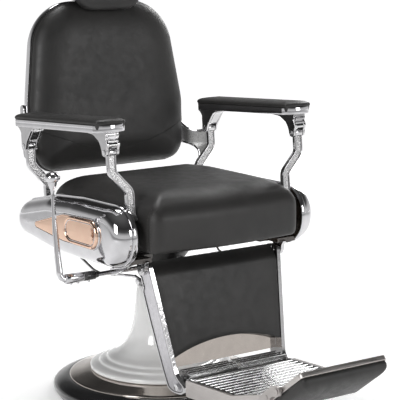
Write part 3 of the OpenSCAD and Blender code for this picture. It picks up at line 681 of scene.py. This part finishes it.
def back_castings():
    for name, side in SIDES:
        s = Shape(side=side)
        strap(s, at_pivot(RECLINE))
        s.bar(RECLINE, 13, 246, 270, 1.5)
        s.bar(REAR_PIN, 10.6, 295.4, 318.6, 1)
        wing(s)
        # foot of the wing, flat on the shell's side
        s.prism([(8, 42), (7, 58), (7, 180), (10, 188), (17, 191), (23, 188), (26, 178),
                (26, 60), (23, 46), (16, 41)], 260.6, 269.4, place=BACK)
        # crank down to the link rod
        s.prism(curve([(157, 512), (160, 528), (174, 530), (181, 516), (192, 494), (204, 476),
                (203, 463), (194, 459), (185, 464), (174, 488), (164, 504)], 4, True), 258, 269)
        s.bar(LINK_PIN, 10, 257.6, 269.4, 1)
        s.bar(LINK_PIN, 4, 248, 258)
        s.build("back_casting_body_" + name, [CAST_CHROME, HAMMERED, WEB], "back", "linkage",
                "back_casting_" + name, sharp=38)


def arm_ring(z, inset, n_side=14, bow=8, corner=12, facets=6):
    """Plan outline of an arm, rounded at the corners and bowed in front."""
    half, front, rear = 48.5 - inset, inset, 424 - inset
    c = max(2, corner - inset)
    pts = []
    for k in range(17):
        t = k / 8 - 1
        pts.append((t * (half - c), front - bow * (1 - t * t)))
    def turn(cx, cy, first, start, stop):
        for k in range(start, stop):
            a = first + math.pi / 2 * k / facets
            pts.append((cx + c * math.cos(a), cy + c * math.sin(a)))
    turn(half - c, front + c, -math.pi / 2, 1, facets + 1)
    pts += [(half, front + c + (rear - 2 * c - front) * k / n_side) for k in range(1, n_side)]
    turn(half - c, rear - c, 0, 0, facets + 1)
    pts += [((half - c) * (1 - 2 * k / 8), rear) for k in range(1, 8)]
    turn(c - half, rear - c, math.pi / 2, 0, facets + 1)
    pts += [(-half, rear - c - (rear - 2 * c - front) * k / n_side) for k in range(1, n_side)]
    turn(c - half, front + c, math.pi, 0, facets)
    return [(x + ARM_X, y, z) for x, y in pts]


def arms():
    for name, side in SIDES:
        body = "armrest_" + name
        s = Shape(ARM, side)
        s.rings([arm_ring(z, i, corner=17, facets=1) for z, i in (
            (6.2, 40), (6.2, 6), (17.4, 4.6), (18.8, 3.6), (19, 1.6), (18.6, 0.4), (17.8, 0),
            (1.2, 0), (0.3, 0.4), (0, 1.4), (0, 40))])
        s.build("tray_" + name, CHROME, body, "chrome", "arm_tray_" + name, sharp=30)

        s = Shape(ARM, side)
        levels = [(7, 12), (8, 6.4), (14, 5.2), (19.4, 4.4), (21.4, 3.0), (23.4, 2.4),
                (25.6, 2.8), (27.8, 4.2), (29.8, 6.8), (31.6, 10.8), (33.2, 16),
                (34.4, 22.5), (35.3, 30), (35.8, 38)]
        rings = [arm_ring(z, i) for z, i in levels]
        s.dome(rings, (ARM_X, 212, 7), (ARM_X, 212, 36))
        soft(s, "arm_cushion_" + name, body, "arm_pad_" + name)

        s = Shape(side=side)
        f, r = FRONT_PIN, REAR_PIN
        arm_bracket(s, f, 1)
        arm_bracket(s, r, -1, 22)
        s.build("clevis_" + name, CAST_CHROME, body, "linkage", "arm_brackets_" + name,
                bevel=1.4, sharp=38)

        s = Shape(side=side)
        for p in (f, r):
            s.bar(p, 5, 288, 326, 0.5)
            for a, b in ((285, 287.2), (326.8, 329)):
                s.bar(p, 7.6, a, b, 1.6, 6)
        s.build("pins_" + name, STEEL, body, "plain_steel", "arm_pins_" + name, sharp=35)


def tray_under(y):
    """Height of an armrest tray's underside."""
    return 779.5 - math.tan(math.radians(ARM_TILT)) * (y + 232)


def arm_bracket(s, pin, way, flare=0):
    """A clevis that hangs from the tray; way is +1 with its foot to the rear."""
    y, z = pin
    nose, tail = -way * 9, way * 84

    def at(dy, dz):
        return (y + dy, z + dz)

    def under(dy, drop=0.0):
        return (y + dy, tray_under(y + dy) - drop)

    ears = [at(-11 * way, 9), at(-11.5 * way, 2), at(-10 * way, -5.5), at(-5 * way, -10.4),
            at(1 * way, -11.3), at(7 * way, -9), at(10.6 * way, -3.6), at(12.4 * way, 4),
            at(17 * way, 15)]
    neck = [at(26 * way, 27), under(40 * way, 15), under(56 * way, 7.4), under(tail, 4.2),
            under(tail, 0.4)]
    if flare:
        lip = nose - flare * way
        neck += [under(lip, 0.4), under(lip, 5), under(lip + 8 * way, 9.5),
                under(lip + 17 * way, 20), at(-13 * way, 26)]
    else:
        neck += [under(nose, 0.4), under(nose, 6), under(nose - 2.5 * way, 10),
                under(nose + 2 * way, 16), at(-15 * way, 22)]
    smooth = curve(ears, 4) + curve(neck[:4], 4) + neck[4:7] + curve(neck[7:] + ears[:1], 3)[:-1]
    for a, b in ((ARM_X - 20, ARM_X - 12.7), (ARM_X + 12.7, ARM_X + 20)):
        s.prism(smooth, a, b)
    # the solid web above the post's eye
    web = [at(-15.4 * way, 20), at(-13 * way, 14.6), at(0, 14.2), at(14 * way, 15.4),
           at(18 * way, 17)] + neck[:9]
    s.prism(web, ARM_X - 12.8, ARM_X + 12.8)
    # two small steps across the face of the web
    for k, drop in enumerate(() if flare else (9, 20)):
        yy = y + nose - 1.5 * way - way * (2 - k)
        zz = tray_under(y) - drop
        s.prism([(yy, zz), (yy - 2.6 * way, zz - 1.2), (yy - 2.6 * way, zz - 5),
                (yy + 4 * way, zz - 6.5), (yy + 8 * way, zz)], ARM_X - 16, ARM_X + 16)


# ---------- cushions ----------

BACK_CIRCLES = [(s * 190, 58, 58) for s in (1, -1)] + [(s * 106, 170, 150) for s in (1, -1)] \
    + [(s * 93, 330, 140) for s in (1, -1)]


def crowned(s, circles, levels, centre_a, centre_b, to3d, n=144, start=(0, 1)):
    """A padded form: each level is (depth, inset) of the outline."""
    rings = [[to3d(u, v, depth) for u, v in hull_ring(circles, n, inset, start)]
            for depth, inset in levels]
    s.dome(rings, centre_a, centre_b)


def roll(depth0, depth1, inset0, inset1, steps, power):
    """Levels along a rounded edge from the side wall to the face."""
    out = []
    for k in range(steps + 1):
        a = math.pi / 2 * k / steps
        out.append((depth0 + (depth1 - depth0) * math.sin(a) ** (2 / power),
                inset0 + (inset1 - inset0) * (1 - math.cos(a) ** (2 / power))))
    return out


INSETS = (0.0, 0.6, 1.6, 3, 5, 7.5, 11, 15, 20, 26, 33, 41, 50, 60, 71, 83, 96, 110, 125, 141, 158)


def crown(low, high, reach, power):
    """Levels of a form that rolls over from its side wall and flattens within reach."""
    return [(low + (high - low) * math.sqrt(1 - (1 - min(1, i / reach)) ** power), i)
            for i in INSETS if i < reach * 1.2]


def groove(name, bvh, path, way, radius, place, body, lift=0.0):
    """A thin seam that follows a cushion: path points are dropped onto it along way."""
    pts = []
    for q in path:
        where, normal = hit(bvh, place @ Vector(q), place.to_3x3() @ Vector(way))
        if where:
            pts.append(tuple(where + normal * lift))
    s = Shape()
    s.tube(pts, radius, 8)
    # the seam tube is drawn in the darker vinyl: painted shade along the seam
    soft(s, name, body, look=SEAM_SHADE_VINYL)


def back_rest():
    s = Shape(BACK)
    levels = [(4.6, 60), (4.6, 12), (4.4, 4), (3.2, 1.4), (1.6, 0.7), (-2, 0.3)]
    levels += crown(-6, -59, 128, 2.3)
    crowned(s, BACK_CIRCLES, levels, (0, 4.6, 240), (0, -59.2, 250), lambda u, v, d: (u, d, v))
    back = soft(s, "back_cushion_soft", "back", "back_cushion")
    # a curved seam crosses the lower back and rises towards both sides
    arc = [(u, -200, 46 + 66 * (abs(u) / 235) ** 1.6) for u in range(-236, 237, 8)]
    groove("back_seam", tree(back), arc, (0, 1, 0), 0.9, BACK, "back", 0.1)
    s = Shape(BACK)
    ring = hull_ring(BACK_CIRCLES, 200, 0.2)
    s.tube([(u, 0.6, v) for u, v in ring] + [(ring[0][0], 0.6, ring[0][1])], 2.2, 8,
           caps=(False, False))
    # the piping is drawn in the darker vinyl: painted shade along it
    soft(s, "back_piping", "back", look=SEAM_SHADE_VINYL)

    s = Shape(BACK)
    outer = [(4.8, 60), (4.8, 3), (4.9, -1.5), (4.0, -3.0), (5.2, -3.9), (8, -4), (20, -4)]
    outer += [(26, -2), (32, 3), (38, 10), (43, 19), (47, 30), (50.6, 43), (53.4, 60),
            (55.6, 78), (57.2, 98), (57.9, 120)]
    crowned(s, BACK_CIRCLES, outer, (0, 4.8, 240), (0, 58, 250), lambda u, v, d: (u, d, v))
    s.build("back_shell_body", CHROME, "back", "back_shell", ("back_shell", "back_board"),
            sharp=45)


SEAT_CIRCLES = [(s * 200, 150, 42) for s in (1, -1)] + [(s * 208, -288, 34) for s in (1, -1)] \
    + [(s * 40, -171, 165) for s in (1, -1)]


def seat():
    s = Shape()
    # side walls bulge a little, then a broad roll leads to a low crown
    levels = [(464.2, 60), (464.3, 16), (465.5, 7), (469, 3), (475, 0.8), (486, 0), (500, -0.5),
            (520, -0.6), (536, -0.2)]
    levels += crown(544, 617.8, 116, 2.3)

    def shape(u, v, z):
        k = max(0.0, (z - 530) / 88)
        fall = 12 * k * ease((v + 20) / 220)          # lower towards the back
        nose = 5 * k * ease((-v - 170) / 190)         # dips towards the front edge
        return (u, v, z - fall - nose)
    crowned(s, SEAT_CIRCLES, levels, (0, -80, 464.2), (0, -80, 618), shape)
    cushion = soft(s, "seat_cushion_soft", "seat", "seat_cushion")
    # boxed front corners: a seam runs down each, with a row of stitches beside it
    bvh = tree(cushion)
    for name, side in SIDES:
        path = [(side * OUTSIDE, -296, z) for z in range(468, 588, 6)]
        groove("seat_seam_" + name, bvh, path, (-side, 0, 0), 1.1, ROW, "seat", 0.2)
        stitches = Shape()
        for z in range(472, 580, 8):
            for y in (-290, -302):
                a, na = hit(bvh, (side * OUTSIDE, y, z), (-side, 0, 0))
                b, nb = hit(bvh, (side * OUTSIDE, y, z + 4.6), (-side, 0, 0))
                if a and b:
                    mid = (a + b) / 2 + na * 0.7
                    stitches.tube([tuple(a), tuple(mid), tuple(b)], [0.35, 0.55, 0.35], 6)
        soft(stitches, "seat_stitches_" + name, "seat", look=THREAD)


def leg_half(v):
    """Half the width between the rails at a height along the legrest."""
    return LEG_TOP + v * SPLAY - 1.2


def calf():
    s = Shape(LEG)
    cols, rows = 40, 44

    def bottom(u):
        """The lower edge, an arch between the rails."""
        if abs(u) >= leg_half(-CALF_LEN):
            return -CALF_LEN
        r = (LEG_LOW ** 2 + ARCH ** 2) / (2 * ARCH)
        return ARCH - CALF_LEN - r + math.sqrt(max(0, r * r - u ** 2))

    front, rear = [], []
    for j in range(rows + 1):
        row_f, row_r = [], []
        for i in range(cols + 1):
            a = i / cols * 2 - 1
            v_top, w = 4, j / rows
            v = v_top + (bottom(a * 176) - v_top) * w
            u = a * leg_half(v)
            top = v_top - v
            rim = min((1 - abs(a)) * leg_half(v), v - bottom(a * 176))
            drop = 2.6 * (1 - ease(rim / 9)) + 24 * (1 - ease(top / 46)) ** 1.6
            swell = 3.24 * math.cos(a * math.pi / 2) ** 0.7 \
                * math.sin(math.pi * min(1, w * 0.94 + 0.03)) ** 0.6
            row_f.append((u, 0.4 + drop - swell, v + 3 * (1 - ease(top / 30))))
            row_r.append((u, 24.6, v))
        front.append(row_f)
        rear.append(row_r)
    verts = [p for row in front for p in row] + [p for row in rear for p in row]
    n, base = cols + 1, (cols + 1) * (rows + 1)
    faces = []
    for j in range(rows):
        for i in range(cols):
            q = [j * n + i, j * n + i + 1, (j + 1) * n + i + 1, (j + 1) * n + i]
            faces += [q, [base + k for k in reversed(q)]]
    edge_loop = ([i for i in range(cols)] + [j * n + cols for j in range(rows)]
            + [rows * n + i for i in range(cols, 0, -1)] + [j * n for j in range(rows, 0, -1)])
    for k in range(len(edge_loop)):
        a, b = edge_loop[k], edge_loop[(k + 1) % len(edge_loop)]
        faces.append([a, b, base + b, base + a])
    s.add(verts, faces)
    soft(s, "calf_cushion", "legrest", "calf_pad", sharp=70)


HEAD_CIRCLES = [(c * 50, 514, 74) for c in (1, -1)]


def headrest():
    s = Shape(BACK)
    levels = [(-36.4, 30), (-36.4, 8), (-37.4, 3), (-39.5, 1.4)]
    levels += roll(-42, -60, 1, 15, 7, 2.2)
    levels += [(-61.8, 20), (-63.6, 27), (-65, 36), (-66, 46), (-66.4, 56)]

    def place(u, v, d):
        # the lower edge leans forward, over the top of the back cushion
        return u, d, v + 1.5 * max(0, d + 48) * (588 - v) / 148
    crowned(s, HEAD_CIRCLES, levels, (0, -36.4, 524), (0, -66.6, 514), place, 96)
    soft(s, "headrest_cushion", "headrest", "headrest_pad")
    s = Shape(BACK)
    ring = [place(u, v, -38.4) for u, v in hull_ring(HEAD_CIRCLES, 140, 0.4)]
    s.tube(ring + ring[:1], 2.4, 8, caps=(False, False))
    # the piping is drawn in the darker vinyl: painted shade along it
    soft(s, "headrest_piping", "headrest", look=SEAM_SHADE_VINYL)
    s = Shape(BACK)
    circles = [(c * 66, 528, 56) for c in (1, -1)]
    levels = [(-35.6, 40), (-35.6, 6), (-34, 3), (-20, 1.6), (0, 1.6)]
    levels += roll(8, 37, 2, 34, 9, 2.2)
    levels += [(38, 42), (38.2, 50)]
    crowned(s, circles, levels, (0, -35.6, 528), (0, 38.2, 528), lambda u, v, d: (u, d, v), 96)
    soft(s, "headrest_rear", "headrest", "headrest_shell", slot="headrest_shell")


def flap():
    front, rear, half = -100, 60, 139
    s = Shape(FLAP)

    def ring(z, inset):
        f, r, h, c = front + inset, rear - inset, half - inset, max(3, 14 - inset * 0.3)
        pts = []
        for cx, cy, a0 in ((h - c, f + c, -90), (h - c, r - c, 0), (c - h, r - c, 90),
                (c - h, f + c, 180)):
            for k in range(9):
                a = math.radians(a0 + 90 * k / 8)
                pts.append((cx + c * math.cos(a), cy + c * math.sin(a), z))
        return pts
    s.rings([ring(z, i) for z, i in ((-8.2, 12), (-8.6, 3), (-8, 1), (-6.6, 0), (3.6, 0),
            (5, 0.6), (5.8, 2), (6, 4), (6, 30))])
    s.build("flap_edge", TRIM, "flap", "flap_trim", "flap_frame", sharp=32)
    s = Shape(FLAP)
    s.dome([ring(z, i) for z, i in ((-8.8, 12), (-9.2, 3.5), (-11, 2.6), (-16, 2.2), (-21, 3),
            (-25.6, 5.4), (-29.4, 9), (-32.6, 14), (-35.4, 20.5),
            (-37.8, 28), (-39.6, 37), (-41, 47), (-41.8, 58))], (0, -20, -8.8), (0, -20, -42))
    soft(s, "flap_cushion", "flap", "flap_pad")


# ---------- legrest frame ----------

def rails():
    m = LEG @ Matrix.Translation((LEG_TOP, 0, 0)) @ Matrix.Rotation(math.atan(SPLAY), 4, "Y")
    outline = curve([(0, -14), (2, -3), (9, 4), (18, 7), (44, 7), (54, 3), (58, -6)], 3) \
        + [(58, -20), (50.4, -30), (50.4, -56), (58, -66)] \
        + curve([(58, -80), (58, -144), (54.4, -252), (50, -310), (45, -329), (28, -341),
            (6, -346), (-10, -346), (-20, -341), (-24.6, -331), (-21, -320),
            (-10, -308), (-2, -294), (0, -276)], 4) + [(0, -200), (0, -100)]
    inner, core = [], []
    for i, (y, z) in enumerate(outline):
        a, b = outline[i - 1], outline[(i + 1) % len(outline)]
        dy, dz = b[0] - a[0], b[1] - a[1]
        q = math.hypot(dy, dz) or 1
        inner.append((y - dz / q * -5.0, z + dy / q * -5.0))
        core.append((y - dz / q * -9.0, z + dy / q * -9.0))
    shade = [(y * 0.6 + a * 0.4, z * 0.6 + b * 0.4) for (y, z), (a, b) in zip(inner, core)]
    for name, side in SIDES:
        s = Shape(m, side)
        n = len(outline)

        def level(pts, x):
            return [(x, y, z) for y, z in pts]
        mid = [((a[0] * 3 + b[0]) / 4, (a[1] * 3 + b[1]) / 4) for a, b in zip(outline, inner)]
        s.rings([level(inner, 0), level(outline, 0.2), level(outline, 11.2), level(mid, 12),
                level(inner, 11.8), level(inner, 10.2)], caps=(True, False))
        s.add(level(inner, 10.2), [list(range(n))], mat=1)
        # a dark wall and band round the sunken field: painted shade along the recess edge
        s.rings([level(inner, 10.3), level(inner, 12.2)], caps=(False, False), mat=2)
        s.rings([level(inner, 10.3), level(shade, 10.3)], caps=(False, False), mat=2)
        s.build("rail_" + name, [CAST_CHROME, FIELD, GROOVE_SHADE], "legrest", "rails",
                "legrest_rail_" + name, sharp=34)
        s = Shape(side=side)
        s.bar(LEG_LINK, 9, 212.8, 219, 0.8)
        s.bar(LEG_LINK, 4, 205.5, 213, 0.4)
        s.bar(LEG_PIVOT, 11, 206.6, 208.6, 0.6)
        s.build("rail_lug_" + name, STEEL, "legrest", "rails", sharp=35)
        s = Shape(side=side)
        s.bar(FOOT_PIVOT, 9.4, 183.8, 186.6, 1.6)
        s.bar(FOOT_PIVOT, 6, 147, 184, 0.4)
        s.build("foot_pin_" + name, STEEL, "legrest", "plain_steel", sharp=35)
    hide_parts("footplate_pins")


def kick_panel():
    s = Shape(LEG)
    cols, rows = 24, 20
    rings = []
    for j in range(rows + 1):
        v = -6 - 270 * j / rows
        h = leg_half(v)
        ring = [(h * (2 * i / cols - 1), 25.2, v) for i in range(cols + 1)]
        ring += [(h * (1 - 2 * i / cols), 26.9, v) for i in range(cols + 1)]
        rings.append(ring)
    s.rings(rings)
    s.build("kick_sheet", MIRROR, "legrest", "kick_panel", "kick_panel", sharp=40)


# ---------- footplate ----------

def footplate():
    s = Shape(FOOT)
    count, pitch, start = 11, 21, -44
    front = start - count * pitch + 8

    def half(y):
        return 171.6 - 0.5 * max(0, -232 - y)
    deck = [(half(y) * k, y) for k, ys in ((1, (-30, -232, front)), (-1, (front, -232, -30)))
            for y in ys]
    # the deck showing between the ribs is dark: painted shade in the grooves
    s.rings([[(x, y, z) for x, y in deck] for z in (13, 18)], mat=1)
    for i in range(count):
        y = start - i * pitch
        rib = [(y + 0.6, 18), (y + 0.2, 22.6), (y - 1.2, 25.2), (y - 3.2, 26), (y - 6.8, 26),
               (y - 8.8, 25.2), (y - 10.2, 22.6), (y - 10.6, 18)]
        s.prism(rib, -half(y - 10), half(y - 10))
    # bright frame round the grooved part
    for side in (1, -1):
        s.rings([[(side * (half(y) - w), y, z) for w, z in ((0.1, 18), (0.1, 25.6), (0.8, 26.4),
                (6.4, 26.4), (7, 25.6), (7, 18))] for y in (-31, -232, front + 0.2)])
    # the hinge cover carries the grooves on to the rear edge
    for a, b in ((-159.6, -5), (5, 159.6)):
        s.prism([(-30, 19), (-30.6, 35), (-29.4, 36), (20.6, 36), (21.6, 35), (21.6, 31),
                (20, 30), (-23, 30), (-24, 19)], a, b)
        # a thin dark sheet between the hinge cover's ribs: painted shade in its grooves
        s.prism([(-29, 36.1), (20.4, 36.1), (20.4, 36.5), (-29, 36.5)], a + 0.6, b - 0.6, mat=1)
        for y in (-18, -1, 18):
            s.prism([(y + 0.2, 36.4), (y, 38.6), (y - 2, 40), (y - 8, 40), (y - 10, 38.6),
                    (y - 10.2, 36.4)], a + 0.4, b - 0.4)
    s.prism([(-30, 19), (-30.4, 31), (-24, 31), (-24, 19)], -5, 5)
    for x0, x1 in ((148, 167), (-167, -148)):
        s.prism(curve([(-26, 30), (-22, 12), (-13, -2), (-9, -9.4), (0, -13), (9, -9.4),
                (13, 0), (16, 14), (18, 30)], 4), x0, x1)
    s.build("ribbed_plate", [GRILLE, GROOVE_SHADE], "footplate", "grille", "foot_grille", bevel=0.5,
            segments=2, sharp=34)


def foot_arms():
    s = Shape()
    for side in (1, -1):
        s.side = side
        prof = curve([(-36, 22), (-36, -14), (-40, -18), (-120, -18), (-232, -18)], 1) \
            + [(-232, 26), (-40, 26)]
        s.prism(prof, 172, 180, place=FOOT)
        # the arm steps inwards and rises to the flap's pivot
        a = [FOOT @ Vector((x, y, z)) for x, y, z in ((172, -232, -18), (180, -232, -18),
                (180, -232, 26), (172, -232, 26))]
        c = [Vector(p) for p in ((141, -644, 129), (150, -644, 129), (150, -644, 161),
                (141, -644, 161))]
        rings = []
        for k in range(13):
            rings.append([tuple(p.lerp(q, k / 12)) for p, q in zip(a, c)])
        s.rings(rings, caps=(True, False))
        eye = [(-644, 161), (-690, 195)] + [(-706 + 13 * math.cos(q), 184 + 13 * math.sin(q))
                for q in [math.radians(d) for d in range(70, 271, 20)]] \
            + [(-690, 168), (-660, 142), (-644, 129)]
        s.prism(eye, 141, 150)
        s.bar(FLAP_PIVOT, 8, 150, 153, 1.4)
        s.bar((-668, 160), 6, 150, 151.6, 0.8)
        s.bar(FLAP_PIVOT, 5, 128, 142, 0.4)
    s.build("side_arms", SATIN, "footplate", "foot_arms", "foot_arms", bevel=1.2, sharp=38)


# ---------- lever ----------

def lever():
    x = -397
    s = Shape()
    path = curve([(-352, -118, 386), (-378, -118, 386), (-391, -117, 388.5),
            (-396.5, -114, 397), (x, -110, 416), (x, -103, 452), (x, -97, 489),
            (x, -90, 540), (x, -85, 590), (x, -83, 612), (x, -83, 626), (x, -83, 641)], 6)
    radii = []
    for p in path:
        z = p[2]
        if z < 400:
            r = 9.4
        elif z < 489:
            r = 10.6 - 1.6 * (z - 400) / 89
        elif z < 592:
            r = 9 - 3.8 * ease((z - 489) / 103)
        else:
            r = 5.2 + 8.4 * ease((z - 606) / 32) ** 1.4
        radii.append(r)
    s.tube(path, radii, 24, flat=0.86)
    s.build("lever_handle", CHROME, "lever", "chrome", "lever_arm", sharp=60)
    s = Shape()
    s.lathe([(0, 0), (12, 0.2), (14.6, 0.8), (16.6, 3), (18.6, 5.4), (20.4, 8.2), (20.9, 11),
            (20.6, 14), (19.2, 17.6), (16.6, 20.8), (12.8, 23.4), (8, 25.2), (3.5, 25.9),
            (0, 26)], 64, place=Matrix.Translation((x, -83, 640)))
    s.build("lever_knob_head", CHROME, "lever", "chrome", "lever_knob", sharp=60)
    s = Shape()
    s.bar(LEVER, 12.8, -385, -330, 1.6, 48)
    s.bar(LEVER, 12.2, -330, -294, 1.2, 48, mat=1)
    s.bar(LEVER, 8.6, -294, -284, 1.0, 48, mat=1)
    s.build("clamp_sleeve", [CHROME, BLACK], "lever", "socket", "lever_socket", sharp=50)
    s = Shape()
    for sx in (-366, -345, -312):
        s.lathe([(0, 0), (2.6, 0.1), (4, 1), (4.2, 2.4), (4.2, 6)], 24,
                place=Matrix.Translation((sx, LEVER[0], LEVER[1] - 17)))
    s.build("clamp_screws", STEEL, "lever", "plain_steel", "socket_screws", sharp=50)


def hinge_brackets():
    """Bright brackets that carry the legrest's hinges under the seat's front corners."""
    for name, side in SIDES:
        s = Shape(side=side)
        s.prism(curve([(-262, 412), (-256, 402), (-245, 399.4), (-234, 402), (-229, 412),
                (-226, 428), (-222, 440), (-268, 440), (-264, 426)], 4, True), 221, 232)
        s.bar(LEG_PIVOT, 8.6, 231, 234.4, 1.4)
        s.bar(LEG_PIVOT, 5.9, 204, 222, 0.4)
        s.build("hinge_bracket_" + name, CAST_CHROME, "seat", "chrome", bevel=1.0, sharp=38)
        s = Shape(side=side)
        for p in (RECLINE, POST):
            s.bar(p, 7, 245, 279, 0.6)
            s.bar(p, 9.8, 242.6, 244.6, 0.6)
        s.build("pivot_pin_" + name, STEEL, "seat", "plain_steel", sharp=38)
    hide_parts("arm_pivot_pins")
    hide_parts("legrest_hinge_pins")


# ---------- camera, light and floor ----------

def studio():
    cam_data = bpy.data.cameras.new("camera")
    cam = put("camera", cam_data)
    a, e = math.radians(-36.16), math.radians(10.34)
    back = Vector((math.sin(a) * math.cos(e), -math.cos(a) * math.cos(e), math.sin(e)))
    cam.location = (-2.57397, -3.7102, 1.36098)
    cam.rotation_mode = "QUATERNION"
    cam.rotation_quaternion = (-back).to_track_quat("-Z", "Y")
    cam_data.lens, cam_data.sensor_width = 148.49, 36
    cam_data.clip_end = 200
    bpy.context.scene.camera = cam

    s = bpy.data.meshes.new("floor")
    s.from_pydata([(-40, -40, 0), (40, -40, 0), (40, 40, 0), (-40, 40, 0)], [], [[0, 1, 2, 3]])
    look = Shader("pale_floor", (0.9, 0.9, 0.9), rough=0.9, Emission_Color=(1, 1, 1, 1))
    look.vary_color(look.noise(0.6, 3), (0.89, 0.89, 0.89), (0.91, 0.91, 0.91))
    # a white sweep: it glows more far behind the object and less in front of it,
    # so that with the lamps added it looks evenly white
    sweep = look.node("ShaderNodeVectorMath", operation="DOT_PRODUCT")
    sweep.inputs[1].default_value = (-0.59, -0.807, 0)
    look.link(look.coords, sweep.inputs[0])
    glow = look.node("ShaderNodeMath", operation="MULTIPLY")
    for slot, limits in enumerate(((-6.0, -1.5, 0.95, 0.4), (0.35, 1.7, 1.0, 0.6))):
        fall = look.map_range(sweep.outputs["Value"], limits, interpolation_type="SMOOTHSTEP")
        look.link(fall, glow.inputs[slot])
    look.link(glow.outputs["Value"], look.bsdf.inputs["Emission Strength"])
    s.materials.append(look.mat)
    put("floor", s)

    def area(name, loc, target, size, watts, size_y):
        data = bpy.data.lights.new(name, "AREA")
        data.shape, data.size, data.size_y = "RECTANGLE", size, size_y
        data.energy = watts
        obj = put(name, data)
        obj.location = loc
        obj.rotation_mode = "QUATERNION"
        obj.rotation_quaternion = (Vector(target) - Vector(loc)).to_track_quat("-Z", "Y")
    area("key", (-3.9, -1.2, 2.3), (0, 0, 0.75), 1.3, 75, 2.0)
    area("fill", (1.9, -4.4, 1.9), (0, -0.2, 0.6), 1.6, 46, 1.6)
    area("rim", (3.2, 1.6, 2.4), (0, 0, 0.7), 1.2, 60, 2.2)
    area("top", (0.4, 0.9, 3.6), (0, 0, 0.5), 1.2, 45, 1.2)

    world = bpy.data.worlds.new("studio")
    bpy.context.scene.world = world
    world.use_nodes = True
    t = world.node_tree
    bg = t.nodes["Background"]
    coords = t.nodes.new("ShaderNodeTexCoord")
    split = t.nodes.new("ShaderNodeSeparateXYZ")
    t.links.new(coords.outputs["Generated"], split.inputs["Vector"])
    ramp = t.nodes.new("ShaderNodeValToRGB")
    stops = [(0.0, 0.6), (0.5, 0.7), (0.58, 0.66), (0.63, 0.4), (0.68, 0.1), (0.78, 0.04),
            (0.9, 0.08), (1.0, 0.14)]
    while len(ramp.color_ramp.elements) < len(stops):
        ramp.color_ramp.elements.new(0.5)
    for el, (pos, v) in zip(ramp.color_ramp.elements, stops):
        el.position, el.color = pos, (v, v, v, 1)
    m = t.nodes.new("ShaderNodeMapRange")
    m.inputs["From Min"].default_value, m.inputs["From Max"].default_value = -1, 1
    t.links.new(split.outputs["Z"], m.inputs["Value"])
    t.links.new(m.outputs["Result"], ramp.inputs["Fac"])
    t.links.new(ramp.outputs["Color"], bg.inputs["Color"])
    bg.inputs["Strength"].default_value = 1.0
    bpy.context.scene.view_settings.view_transform = "Standard"


base()
medallions(side_covers())
front_posts()
back_castings()
arms()
back_rest()
seat()
calf()
headrest()
flap()
rails()
kick_panel()
footplate()
foot_arms()
lever()
hinge_brackets()
studio()

bpy.context.view_layer.update()
